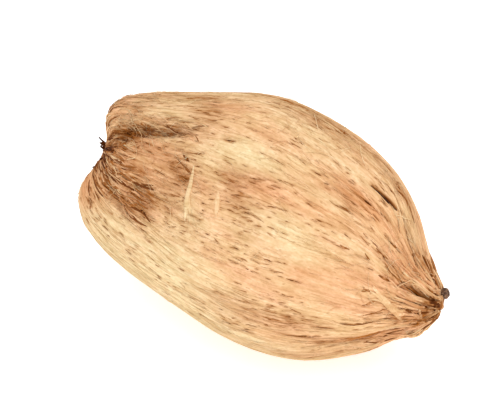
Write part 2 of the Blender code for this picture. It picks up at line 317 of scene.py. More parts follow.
# Short dark gaps and torn fibres: place, angle, length and width in millimetres, darkness, and lean as
# above where there is any
DASHES = [
    (0.437, 55.2, 8, 1.2, 1), (0.447, 57.8, 5, 1, 0.9), (0.455, 54.5, 5, 1, 0.8, 60),
    (0.456, 52.2, 8, 1.2, 0.9, 120), (0.41, 51.6, 12, 1.2, 0.7), (0.445, 49.2, 9, 1, 0.8),
    (0.466, 48.8, 4, 1.2, 0.9), (0.40, 42, 5, 1.2, 0.8), (0.43, 42.6, 10, 0.8, 0.6, 40),
    (0.447, 43.6, 10, 0.8, 0.7, 80), (0.465, 44.8, 4, 1.1, 0.9), (0.459, 42.5, 8, 0.8, 0.7, 220),
    (0.42, 38.7, 18, 1.2, 0.8), (0.405, 35, 10, 1, 0.6), (0.443, 31.5, 4, 1, 0.6),
    (0.447, 29.3, 8, 0.8, 0.6), (0.418, 25.8, 8, 1.2, 0.7, 30), (0.405, 26, 6, 1, 0.6),
    (0.408, 17, 12, 1.2, 0.7), (0.425, 14.2, 10, 1.1, 0.5), (0.49, 11.3, 6, 1.1, 0.6),
    (0.501, 43.8, 3, 1.1, 0.9), (0.49, 39.2, 9, 0.8, 0.6), (0.498, 38.8, 4, 1.1, 0.9, 200),
    (0.505, 55.5, 5, 0.9, 0.6), (0.488, 56, 6, 0.8, 0.4), (0.537, 56.2, 7, 1.1, 0.9, 100),
    (0.54, 58, 5, 0.9, 0.7), (0.535, 48.8, 5, 1.1, 0.9), (0.523, 48.5, 3, 0.8, 0.5),
    (0.562, 51, 14, 0.7, 0.5), (0.562, 48.5, 4, 0.9, 0.6), (0.574, 48, 4, 0.9, 0.7),
    (0.59, 49.3, 6, 0.8, 0.6), (0.608, 49.3, 4, 0.7, 0.6), (0.592, 46.2, 6, 0.8, 0.5, -100),
    (0.527, 44, 3, 0.8, 0.5), (0.543, 44.5, 3, 0.8, 0.5), (0.514, 34.5, 4, 1, 0.8),
    (0.529, 33.5, 4, 0.9, 0.8, -100), (0.536, 31.5, 3, 0.9, 0.6), (0.553, 34, 7, 1.1, 0.9),
    (0.563, 30.2, 5, 0.9, 0.6), (0.556, 28.2, 8, 0.9, 0.8), (0.569, 28, 4, 0.9, 0.6),
    (0.53, 25.5, 4, 0.8, 0.6), (0.515, 25, 8, 0.6, 0.4), (0.597, 35, 6, 0.9, 0.8),
    (0.61, 36, 5, 0.9, 0.7, 40), (0.619, 36.5, 3, 1, 0.7), (0.584, 35, 5, 0.8, 0.5),
    (0.611, 31.3, 8, 0.8, 0.6, 60), (0.619, 29.8, 4, 0.8, 0.8), (0.635, 30, 5, 1, 0.95),
    (0.642, 30, 3, 0.9, 0.8), (0.628, 30, 3, 0.7, 0.6), (0.582, 58, 7, 0.9, 0.7, 100),
    (0.596, 59, 8, 0.8, 0.7, 60), (0.645, 57.5, 3, 0.9, 0.5), (0.66, 55.8, 8, 0.8, 0.6),
    (0.68, 55.5, 10, 0.8, 0.5), (0.648, 14.3, 7, 1, 0.7, -80), (0.60, 15.8, 3, 0.9, 0.6),
    (0.615, 13.3, 5, 0.9, 0.7), (0.611, 12, 3, 0.8, 0.6), (0.58, 15, 4, 0.9, 0.5),
    (0.575, 12.5, 16, 0.8, 0.5, -60), (0.62, 10, 4, 0.8, 0.5), (0.603, 10, 4, 0.8, 0.5),
    (0.692, 6.3, 9, 1.1, 0.95, 30), (0.703, 6.2, 4, 0.7, 0.6), (0.677, 13, 5, 1, 0.5),
    (0.726, 11, 7, 1.2, 0.9), (0.746, 11.3, 5, 1.1, 0.8), (0.742, 5.5, 4, 1, 0.6),
    (0.455, 4, 5, 1.2, 0.5), (0.495, 2.2, 5, 1, 0.5, -200), (0.551, 1, 4, 1, 0.8),
    (0.45, -2, 10, 1.3, 0.7, -60), (0.46, -3, 4, 1.1, 0.6), (0.403, -1.5, 6, 1.4, 0.7),
    (0.41, -5.5, 6, 1.2, 0.5), (0.552, -3.4, 5, 1.1, 0.7), (0.555, -7.2, 10, 1.2, 0.8, 60),
    (0.588, -7.2, 9, 1.2, 0.9), (0.566, -10.5, 5, 1.2, 0.6), (0.52, -8, 10, 0.8, 0.4),
    (0.595, 2.5, 12, 1, 0.6), (0.613, 1.2, 4, 1, 0.6), (0.655, -2, 22, 1.3, 0.85, 20),
    (0.68, -0.5, 5, 1.5, 0.8), (0.632, 3, 4, 0.9, 0.5), (0.66, 3, 12, 0.7, 0.4), (0.71, -13, 7, 1.2, 0.7),
    (0.43, 83, 12, 1, 0.6), (0.412, 82, 10, 1, 0.5), (0.418, 79, 9, 1.1, 0.7), (0.432, 76.5, 7, 1.2, 0.8),
    (0.408, 72.5, 8, 1.4, 0.9, 60), (0.418, 74.2, 7, 1.4, 0.8, 60), (0.449, 76.2, 6, 1.1, 0.8, -80),
    (0.447, 80.3, 4, 1.1, 0.8), (0.455, 81, 4, 1, 0.7), (0.477, 79.5, 3, 1.2, 0.9),
    (0.497, 78.5, 5, 1.3, 1, 40), (0.505, 78.8, 4, 1.2, 1), (0.482, 73.5, 3, 1, 0.6),
    (0.45, 66.3, 18, 0.9, 0.6, 30), (0.47, 67.5, 7, 1.1, 0.8, 100), (0.414, 66, 5, 1.2, 0.7),
    (0.403, 64, 6, 1.2, 0.8), (0.44, 66.8, 6, 0.9, 0.5), (0.467, 73, 4, 0.8, 0.5),
    (0.468, 87, 5, 1.1, 0.9, 150), (0.477, 88.8, 4, 0.9, 0.7, 150), (0.487, 85, 6, 1, 0.6),
    (0.531, 92, 3, 1.1, 0.8), (0.51, 91.4, 4, 0.9, 0.6), (0.575, 89.7, 9, 0.8, 0.7),
    (0.568, 89.6, 3, 0.9, 0.7), (0.585, 84, 12, 0.9, 0.8, -60), (0.612, 82, 8, 0.9, 0.8),
    (0.553, 82.7, 4, 1, 0.6), (0.545, 86, 3, 0.8, 0.5), (0.607, 88, 4, 1, 0.7), (0.518, 88, 10, 0.8, 0.4),
    (0.55, 66.1, 9, 0.9, 0.8, 60), (0.559, 67.2, 4, 1, 0.9), (0.522, 66, 6, 0.8, 0.5),
    (0.566, 68.5, 6, 0.8, 0.6, 80), (0.548, 64.2, 5, 1, 0.8), (0.50, 61.5, 8, 0.8, 0.5, -50),
    (0.52, 60.8, 9, 0.9, 0.5), (0.601, 68.3, 3, 1, 0.7), (0.59, 63.5, 5, 0.9, 0.6),
    (0.605, 62.5, 5, 0.7, 0.5), (0.618, 60.3, 5, 0.8, 0.5), (0.643, 62.3, 6, 1, 0.8, 40),
    (0.657, 63, 7, 0.8, 0.5), (0.638, 60.8, 3, 1, 0.7), (0.656, 57.8, 4, 0.9, 0.5),
    (0.628, 79.7, 4, 1.1, 0.9, 200), (0.645, 79.8, 8, 1.1, 0.7), (0.67, 80.5, 10, 0.9, 0.6, 60),
    (0.69, 82.5, 8, 1, 0.6, 40), (0.67, 85.8, 14, 0.9, 0.5, 50), (0.688, 86.7, 6, 1.4, 1, 80),
    (0.703, 87.3, 5, 1, 0.6), (0.72, 89.5, 8, 1.2, 0.6), (0.655, 88.5, 6, 1, 0.5),
    (0.682, 98.5, 4, 1, 0.9), (0.704, 107, 7, 1.1, 0.9, 200), (0.681, 110.5, 5, 1.3, 0.8, 150),
    (0.69, 106, 6, 1.1, 0.5, 100), (0.517, 112, 6, 1.6, 0.8), (0.548, 112, 9, 1.5, 0.7),
    (0.60, 115.5, 6, 1.8, 0.8), (0.607, 118.5, 6, 1.4, 0.9), (0.574, 108, 3, 0.9, 0.5),
    (0.615, 103.5, 4, 1.1, 0.6), (0.603, 106, 4, 1, 0.5), (0.635, 101, 8, 0.9, 0.4),
    (0.66, 73.8, 16, 0.8, 0.5, 45), (0.70, 73.5, 12, 0.8, 0.5, 80), (0.71, 67.3, 8, 1, 0.6),
    (0.735, 67, 7, 1.2, 0.6), (0.742, 69, 5, 1.4, 0.7), (0.69, 66.3, 9, 0.7, 0.4),
    (0.726, 58.5, 6, 1.3, 0.6), (0.424, 95, 8, 1.4, 0.7), (0.442, 92, 5, 1.3, 0.6),
    (0.452, 91.5, 5, 1.1, 0.8), (0.44, 87, 7, 1, 0.7, -150), (0.43, 110, 9, 1.4, 0.5, -150),
    (0.447, 108.5, 7, 1.4, 0.5, -150), (0.342, 88.5, 6, 1.8, 0.9, -150), (0.352, 84, 7, 1.5, 0.8),
    (0.31, 59.3, 4, 1.5, 0.8), (0.28, 65.8, 10, 1.2, 0.8), (0.365, 71, 8, 2, 0.9),
    (0.372, 75, 6, 1.6, 0.7), (0.362, 68.5, 4, 1.5, 0.8), (0.39, 71.8, 5, 1.5, 0.9),
    (0.355, 61, 6, 1.3, 0.8), (0.345, 61, 4, 1, 0.7), (0.385, 64.5, 8, 1.4, 0.7),
    (0.36, 64.5, 6, 1.3, 0.5), (0.17, 54, 10, 1.6, 0.9), (0.25, 46, 9, 1.3, 0.8), (0.22, 43.5, 7, 1, 0.6),
    (0.315, 42, 5, 1.2, 0.8), (0.34, 42.3, 5, 1, 0.6), (0.35, 48, 5, 1, 0.6), (0.31, 38.5, 4, 1.2, 0.7),
    (0.32, 37, 4, 1, 0.7), (0.235, 32, 8, 1.3, 0.8), (0.30, 33.5, 5, 1.1, 0.8), (0.275, 30, 8, 1.2, 0.7),
    (0.245, 27, 12, 1.8, 0.7), (0.275, 27, 8, 1.5, 0.7), (0.308, 23, 6, 1.8, 0.9),
    (0.335, 21.3, 6, 1.2, 0.8), (0.318, 30.5, 4, 1.2, 0.8), (0.312, 28, 4, 1.1, 0.8),
    (0.345, 33, 7, 1.3, 0.8), (0.355, 27, 6, 1.8, 0.9), (0.352, 24.5, 6, 1.4, 0.8),
    (0.36, 22, 6, 1.3, 0.8, -120), (0.388, 26, 5, 1.5, 1), (0.398, 25, 6, 1.6, 1),
    (0.38, 28, 5, 1.1, 0.6), (0.34, 27, 4, 1.1, 0.7), (0.378, 35.5, 14, 1.2, 0.8), (0.27, 5, 5, 2.2, 1),
    (0.28, 4, 5, 1.6, 0.7), (0.24, 10, 5, 1.6, 0.6), (0.316, 4.5, 5, 1.6, 0.6), (0.318, 2, 5, 1.2, 0.6),
    (0.377, 6.2, 4, 1.1, 0.9), (0.30, -9.5, 6, 2, 0.7), (0.33, 12.5, 7, 1.2, 0.4),
    (0.768, 102, 3, 1, 0.7), (0.725, 89.8, 6, 1.2, 0.7), (0.745, 68.5, 7, 1.2, 0.7),
    (0.775, 22, 10, 1.1, 0.7, 120), (0.868, 28, 5, 1.1, 0.7), (0.74, -5.5, 12, 1.6, 0.5, 60),
]

# The boldest gaps, each on its own line: points (place, angle), half width in millimetres and darkness.
# Those beyond the place GAPS_REPEAT_FROM come again so many degrees further round.
GAPS = [
    ([(0.685, 97.4), (0.7075, 98.6), (0.7316, 101.6)], 0.95, 1.5),
    ([(0.678, 97.2), (0.686, 98.3)], 0.6, 1.2),
    ([(0.714, 115.4), (0.735, 119.6), (0.759, 119.3), (0.772, 118.7)], 0.95, 0.9),
    ([(0.702, 119.6), (0.714, 118.4)], 0.7, 0.9), ([(0.682, 86.6), (0.695, 87.2)], 0.8, 1.1),
    ([(0.656, 74.3), (0.677, 75.2)], 0.45, 0.6),
    ([(0.720, 60.8), (0.728, 59.6), (0.733, 59.3)], 0.4, 0.6),
    ([(0.720, 70.1), (0.738, 69.5), (0.757, 67.7)], 0.5, 0.75),
    ([(0.751, 68.4), (0.759, 67.5)], 0.8, 0.9), ([(0.746, 80.6), (0.764, 82.1), (0.780, 83.6)], 0.5, 0.9),
    ([(0.740, 99.2), (0.748, 96.5), (0.757, 95)], 0.4, 0.6),
    ([(0.762, 104), (0.789, 99.5), (0.820, 95.3), (0.827, 93.5)], 0.7, 0.9),
    ([(0.812, 96.3), (0.827, 93.5)], 0.9, 1.1), ([(0.756, 103.1), (0.770, 103.1)], 0.4, 0.6),
    ([(0.767, 63.8), (0.791, 62), (0.821, 65)], 0.75, 0.75),
    ([(0.759, 53.9), (0.772, 54.5), (0.786, 55.1)], 0.8, 0.8),
    ([(0.832, 64.1), (0.869, 63.5), (0.905, 62.3)], 1.1, 1.3), ([(0.858, 68), (0.887, 66.5)], 0.9, 1.2),
    ([(0.831, 49.1), (0.857, 51.8), (0.889, 53.3)], 0.5, 0.8), ([(0.810, 62.9), (0.836, 60.2)], 0.6, 0.7),
    ([(0.885, 48.8), (0.921, 47.6), (0.95, 45)], 1.2, 0.8),
    ([(0.799, 18.5), (0.831, 19.4), (0.860, 22.4), (0.914, 28.1)], 0.8, 0.9),
    ([(0.838, 19.8), (0.862, 22.4)], 1.1, 1.1), ([(0.861, 5), (0.885, 6), (0.908, 8)], 0.9, 0.8),
    ([(0.714, -9.1), (0.741, -5.5), (0.772, -2.2), (0.80, -3.7), (0.829, -4.3)], 1.1, 0.6),
    ([(0.716, 10.7), (0.744, 10.1), (0.772, 13.1), (0.799, 18.5)], 0.5, 0.8),
    ([(0.743, 18.2), (0.775, 23.3), (0.804, 31.4)], 0.4, 0.5),
    ([(0.738, 37.7), (0.746, 38.9), (0.754, 39.5)], 0.9, 0.5),
    ([(0.748, 27.2), (0.762, 31.4), (0.775, 36.5)], 0.7, 0.4),
    ([(0.680, 56.6), (0.688, 56.6), (0.696, 57.2)], 0.6, 0.4),
    ([(0.437, 61.7), (0.453, 59), (0.469, 56.3)], 0.7, 0.7), ([(0.446, 64.4), (0.458, 62)], 0.9, 0.9),
    ([(0.296, 23.3), (0.318, 22.1), (0.336, 21.2)], 0.9, 0.8),
    ([(0.347, 25.7), (0.368, 25.4), (0.385, 25.7)], 0.8, 0.8), ([(0.389, 27.2), (0.402, 26.8)], 1.2, 1.2),
    ([(0.22, 44), (0.25, 43.4), (0.278, 39.2), (0.309, 36.2)], 0.9, 0.7),
    ([(0.235, 91.5), (0.21, 86.5), (0.183, 81)], 0.7, 1),
    ([(0.89, 14), (0.92, 18), (0.95, 26)], 1.1, 1.1), ([(0.88, 28), (0.91, 32), (0.945, 38)], 0.9, 1.1),
    ([(0.90, 40), (0.93, 46), (0.96, 52)], 1.1, 1.3), ([(0.91, 3), (0.935, 8), (0.957, 16)], 0.9, 1),
    ([(0.92, 24), (0.945, 31), (0.965, 40)], 1, 1.3), ([(0.29, 101), (0.33, 103), (0.37, 105)], 0.5, 0.7),
    ([(0.313, 67.1), (0.330, 69), (0.347, 70.1)], 1.2, 1.1), ([(0.361, 76.4), (0.381, 76.4)], 0.7, 0.6),
    ([(0.405, 74.8), (0.419, 75.5), (0.434, 77.2)], 0.9, 0.9),
    ([(0.434, 81.2), (0.446, 80), (0.457, 79.7)], 0.6, 0.7), ([(0.258, 3.2), (0.268, 3)], 0.9, 0.6),
    ([(0.279, 2.3), (0.287, 2)], 0.8, 0.6), ([(0.282, -21.4), (0.288, -21.2)], 0.9, 0.6),
    ([(0.15, 30), (0.19, 31), (0.23, 30)], 0.8, 0.9), ([(0.14, 47), (0.19, 46), (0.23, 47)], 0.8, 1),
    ([(0.17, 55), (0.22, 56), (0.27, 57)], 0.7, 0.7), ([(0.36, 33), (0.38, 33.5)], 0.7, 0.7),
]
GAPS_REPEAT_FROM = 0.73
GAPS_TURNS = (118, 242)

# Clusters of short gaps: place, angle, half length in places, half width in degrees and how many. The
# hidden side has some at random, and strays lie all over.
CLUSTERS = [
    (0.45, 52, 0.03, 8, 26), (0.54, 52, 0.035, 8, 34), (0.56, 33, 0.05, 7, 30), (0.60, 12, 0.06, 7, 30),
    (0.47, 30, 0.04, 8, 12), (0.40, 38, 0.05, 9, 34), (0.33, 27, 0.05, 7, 34), (0.36, 72, 0.07, 6, 40),
    (0.42, 79, 0.04, 5, 24), (0.46, 92, 0.03, 9, 20), (0.56, 88, 0.06, 7, 22), (0.57, -4, 0.07, 6, 24),
    (0.45, -1, 0.05, 6, 16), (0.66, 5, 0.07, 5, 22), (0.54, 65, 0.03, 6, 20), (0.64, 60, 0.05, 6, 12),
    (0.68, 84, 0.05, 7, 20), (0.56, 108, 0.09, 9, 44), (0.66, 104, 0.05, 9, 20), (0.74, 82, 0.06, 14, 24),
    (0.78, 66, 0.04, 9, 26), (0.80, 40, 0.05, 14, 22), (0.79, 12, 0.05, 8, 20), (0.30, 2, 0.05, 9, 22),
    (0.26, 40, 0.05, 14, 30), (0.86, 40, 0.04, 60, 50), (0.32, 90, 0.05, 12, 22),
    (0.39, 107, 0.06, 8, 24), (0.50, -18, 0.12, 7, 20), (0.62, 118, 0.09, 5, 26), (0.35, 97, 0.07, 8, 30),
    (0.44, 104, 0.06, 5, 18), (0.24, 90, 0.04, 9, 14), (0.58, 122, 0.08, 4, 22), (0.62, 8, 0.06, 5, 18),
    (0.71, -6, 0.05, 4, 10), (0.56, 45, 0.02, 5, 12),
]
HIDDEN_CLUSTERS = 34
STRAY_DASHES = 320

# Soft patches of colour: place, angle, half length in places, half width in degrees and strength. The
# hidden side has some more at random.
PALE = [
    (0.50, 4, 0.10, 11, 0.9), (0.40, -12, 0.14, 9, 1), (0.53, 76, 0.05, 8, 0.9), (0.60, 52, 0.05, 7, 0.6),
    (0.38, 92, 0.07, 9, 0.4), (0.58, 104, 0.07, 6, 0.5), (0.65, 74, 0.04, 5, 0.6),
    (0.72, 108, 0.08, 12, 0.5), (0.62, 92, 0.06, 10, 0.4), (0.42, -24, 0.2, 22, 0.9),
    (0.54, 114, 0.26, 14, 0.6), (0.44, 44, 0.05, 8, 0.3), (0.485, 30, 0.03, 8, 0.5),
    (0.41, 85, 0.05, 6, 0.6), (0.34, 4, 0.10, 12, 0.6), (0.48, 10, 0.06, 9, 0.4),
    (0.62, -30, 0.10, 12, 0.6), (0.80, 104, 0.05, 14, 0.5), (0.66, 95, 0.03, 4, 0.6),
    (0.55, -16, 0.12, 9, 0.8), (0.47, 20, 0.04, 7, 0.7), (0.50, 37, 0.03, 6, 0.5),
    (0.62, 42, 0.05, 8, 0.5), (0.30, -4, 0.04, 8, 0.4), (0.475, 43, 0.01, 8, 0.8),
    (0.48, 70, 0.03, 6, 0.6), (0.42, 71, 0.02, 4, 0.6), (0.70, 60, 0.04, 9, 0.4), (0.43, 9, 0.05, 6, 0.5),
    (0.575, 98, 0.04, 5, 0.5), (0.77, -14, 0.03, 4, 0.3),
]
ORANGE = [
    (0.68, 82, 0.04, 6, 0.9), (0.74, 100, 0.06, 16, 0.6), (0.80, 78, 0.05, 22, 0.7),
    (0.70, 40, 0.06, 14, 0.35), (0.80, 20, 0.08, 26, 0.35), (0.77, -8, 0.06, 5, 1),
    (0.86, 90, 0.06, 34, 0.8), (0.26, 14, 0.06, 9, 0.6), (0.24, -4, 0.04, 12, 0.7),
    (0.70, -20, 0.08, 9, 0.4), (0.90, 20, 0.06, 60, 0.5), (0.63, 66, 0.04, 5, 0.5),
    (0.57, 62, 0.03, 5, 0.6), (0.47, 98, 0.03, 7, 0.5), (0.36, 50, 0.09, 16, 0.6),
    (0.20, 8, 0.06, 16, 0.9), (0.84, 60, 0.07, 50, 0.5), (0.42, 60, 0.04, 8, 0.4),
    (0.60, 8, 0.07, 6, 0.4), (0.64, 33, 0.02, 4, 0.5), (0.30, 80, 0.05, 9, 0.5),
    (0.64, 110, 0.07, 9, 0.5), (0.83, -14, 0.03, 9, 0.8), (0.62, -6, 0.06, 6, 0.4),
    (0.634, 80.6, 0.025, 4, 0.8), (0.655, 84, 0.025, 5, 0.7), (0.685, 85, 0.03, 5, 0.7),
    (0.715, 85, 0.03, 5, 0.6), (0.645, 66.8, 0.02, 4, 0.5), (0.67, 66, 0.02, 5, 0.5),
    (0.695, 66.8, 0.02, 4, 0.4), (0.645, 36, 0.02, 3, 0.7), (0.668, 38, 0.02, 3, 0.6),
    (0.716, 44, 0.03, 8, 0.5), (0.634, 22.7, 0.02, 3, 0.6), (0.573, 63.5, 0.03, 4, 0.35),
    (0.85, 20, 0.04, 12, 0.6), (0.84, 50, 0.05, 22, 0.5),
]
# The long thin patches at angles 120 to 124 are painted shade along the top edge.
BROWN = [
    (0.16, 40, 0.08, 14, 1), (0.22, 46, 0.05, 13, 0.9), (0.27, 36, 0.04, 9, 0.9),
    (0.31, 25, 0.05, 5, 0.8), (0.31, 46, 0.08, 17, 0.45), (0.38, 33, 0.05, 9, 0.3),
    (0.44, 60, 0.03, 7, 0.4), (0.33, 62, 0.05, 6, 0.5), (0.36, 29, 0.05, 7, 0.4),
    (0.36, 43, 0.06, 9, 0.35), (0.35, 76, 0.04, 5, 0.5), (0.29, 52, 0.05, 9, 0.5),
    (0.32, 67, 0.04, 6, 0.9), (0.37, 72, 0.03, 6, 0.4), (0.42, 77, 0.03, 5, 0.35),
    (0.43, 60, 0.04, 5, 0.3), (0.447, 55, 0.02, 5, 0.8), (0.537, 55, 0.022, 4, 0.6),
    (0.42, 38, 0.04, 4, 0.4), (0.45, 92, 0.02, 6, 0.5), (0.43, 107, 0.04, 6, 0.5),
    (0.28, 96, 0.05, 8, 0.5), (0.345, 87, 0.015, 4, 0.7), (0.56, 112, 0.06, 5, 0.5),
    (0.60, 119, 0.05, 4, 0.7), (0.73, 119, 0.03, 4, 1), (0.68, 118, 0.02, 4, 0.6), (0.86, 63, 0.03, 5, 1),
    (0.885, 64, 0.015, 5, 0.9), (0.83, 51, 0.02, 3, 0.7), (0.87, 45, 0.04, 3, 0.7),
    (0.91, 40, 0.03, 6, 0.8), (0.77, 34, 0.015, 3, 0.5), (0.84, 17, 0.035, 4, 0.7),
    (0.89, 3, 0.02, 7, 0.9), (0.91, 20, 0.02, 9, 0.8), (0.79, 67, 0.02, 4, 0.6), (0.80, 98, 0.02, 4, 0.5),
    (0.77, -4, 0.05, 3.5, 0.8), (0.83, -9, 0.012, 7, 0.6), (0.27, 5, 0.015, 3, 0.7),
    (0.655, -2, 0.03, 2, 0.4), (0.24, 26, 0.05, 5, 0.5), (0.22, 84, 0.05, 12, 0.35),
    (0.97, 0, 0.025, 400, 0.9), (0.06, 60, 0.07, 400, 0.8), (0.915, 90, 0.015, 8, 0.9),
    (0.88, 80, 0.01, 4, 0.5), (0.50, 120, 0.10, 5, 0.5), (0.70, 124, 0.12, 5, 0.6),
    (0.36, 108, 0.05, 9, 0.4), (0.83, 108, 0.05, 9, 0.5), (0.56, -8, 0.03, 3, 0.3),
    (0.54, 66, 0.02, 3, 0.4), (0.30, 15, 0.05, 5, 0.25), (0.65, 82, 0.025, 2.5, 0.25),
    (0.86, 12, 0.04, 8, 0.4), (0.13, 2, 0.04, 8, 0.5), (0.52, 61, 0.02, 4, 0.6), (0.58, 4, 0.05, 5, 0.4),
    (0.625, 9, 0.04, 6, 0.4), (0.67, 10, 0.04, 5, 0.4), (0.71, -6, 0.05, 5, 0.5),
    (0.56, 45, 0.025, 6, 0.35), (0.905, 20, 0.03, 16, 0.7), (0.36, 97, 0.07, 7, 0.25),
    (0.64, -24, 0.12, 10, 0.4), (0.80, -26, 0.08, 8, 0.45), (0.46, 85, 0.03, 8, 0.3),
    (0.41, 104, 0.05, 4, 0.2), (0.56, 123, 0.08, 4, 0.5), (0.30, 101, 0.05, 6, 0.5),
    (0.20, 96, 0.04, 10, 0.25),
]
HIDDEN_SIDE = (150, 318)
HIDDEN_PATCHES = 26

# Where the fibres at the stem end are coarse and open: angle and half width in degrees
FANS = [(46, 30), (170, 42), (285, 36)]

# Where few single fibres show: place, angle, half length in places and half width in degrees
SMOOTH = [
    (0.67, 38, 0.10, 24), (0.52, 76, 0.05, 8), (0.58, 50, 0.05, 10), (0.45, 2, 0.12, 12),
    (0.60, 95, 0.05, 8), (0.55, 20, 0.08, 10), (0.60, 200, 0.12, 26), (0.50, 285, 0.12, 24),
    (0.62, 44, 0.04, 9), (0.68, 54, 0.05, 9), (0.65, 46, 0.04, 9), (0.65, 74, 0.03, 5),
    (0.70, 52, 0.04, 8), (0.43, 90, 0.06, 7),
]

# Soft spots that coarse strands and hairs lie in: place, angle, half length, half width and share
STEM_SPOTS = [
    (0.20, 42, 0.07, 24, 6), (0.28, 42, 0.05, 22, 5), (0.34, 34, 0.05, 14, 3), (0.24, 16, 0.05, 8, 0.3),
    (0.22, 110, 0.07, 40, 3), (0.22, 200, 0.08, 50, 4), (0.22, 300, 0.08, 40, 3),
    (0.10, 180, 0.05, 130, 4),
]
TIP_SPOTS = [
    (0.88, 66, 0.05, 50, 6), (0.84, 40, 0.05, 40, 2), (0.88, 200, 0.05, 90, 6), (0.88, 300, 0.06, 50, 4),
    (0.93, 0, 0.03, 180, 5), (0.82, -12, 0.05, 10, 1),
]
CREASE_SPOTS = [
    (0.33, 66, 0.05, 7, 4), (0.38, 72, 0.06, 6, 4), (0.30, 58, 0.06, 9, 3), (0.43, 78, 0.04, 6, 2),
]
HAIR_SPOTS = [
    (0.30, 55, 0.12, 25, 3), (0.38, 72, 0.08, 14, 4), (0.50, 70, 0.12, 50, 3), (0.80, 60, 0.10, 45, 5),
    (0.60, 112, 0.15, 16, 3), (0.34, 28, 0.07, 12, 2), (0.50, 0, 0.35, 180, 9), (0.90, 20, 0.06, 60, 2),
    (0.47, 45, 0.02, 14, 1), (0.30, 95, 0.07, 18, 2),
]

# Where the husk is nearly black, in the same form as the colours: partly its own dark torn fibres, partly
# painted shade in the cavity round the stem scar and towards the tip
DARK_AND_SHADE = [
    (0.11, 40, 0.07, 17, 1), (0.215, 38, 0.045, 10, 0.85), (0.18, 33, 0.03, 8, 0.8),
    (0.06, 60, 0.06, 40, 0.8), (0.12, 8, 0.04, 10, 0.35), (0.15, 58, 0.07, 13, 1.4),
    (0.14, 29, 0.05, 12, 1), (0.05, 200, 0.06, 150, 0.6), (0.19, 88, 0.03, 8, 0.7),
    (0.25, 42, 0.03, 6, 0.5), (0.30, 37, 0.035, 4, 0.4), (0.25, 53, 0.04, 6, 0.5),
    (0.28, 67, 0.04, 4, 0.6), (0.328, 68.5, 0.025, 4, 0.5), (0.453, 59, 0.018, 3.5, 0.45),
    (0.05, 55, 0.04, 30, 1.2), (0.315, 22.3, 0.025, 2.5, 0.6), (0.366, 25.5, 0.025, 2.5, 0.5),
    (0.397, 27, 0.015, 2.5, 0.8), (0.955, 20, 0.03, 55, 1.6), (0.925, 30, 0.045, 34, 1.8),
    (0.955, 345, 0.03, 60, 0.6), (0.955, 52, 0.03, 26, 1.8), (0.91, 63, 0.015, 5, 0.6),
    (0.97, 180, 0.02, 180, 0.8), (0.93, 250, 0.03, 60, 0.4), (0.86, 63.5, 0.03, 3, 0.7),
    (0.855, 21, 0.02, 3, 0.6), (0.885, 6, 0.02, 3, 0.5), (0.735, 119.5, 0.02, 2.5, 0.5),
]

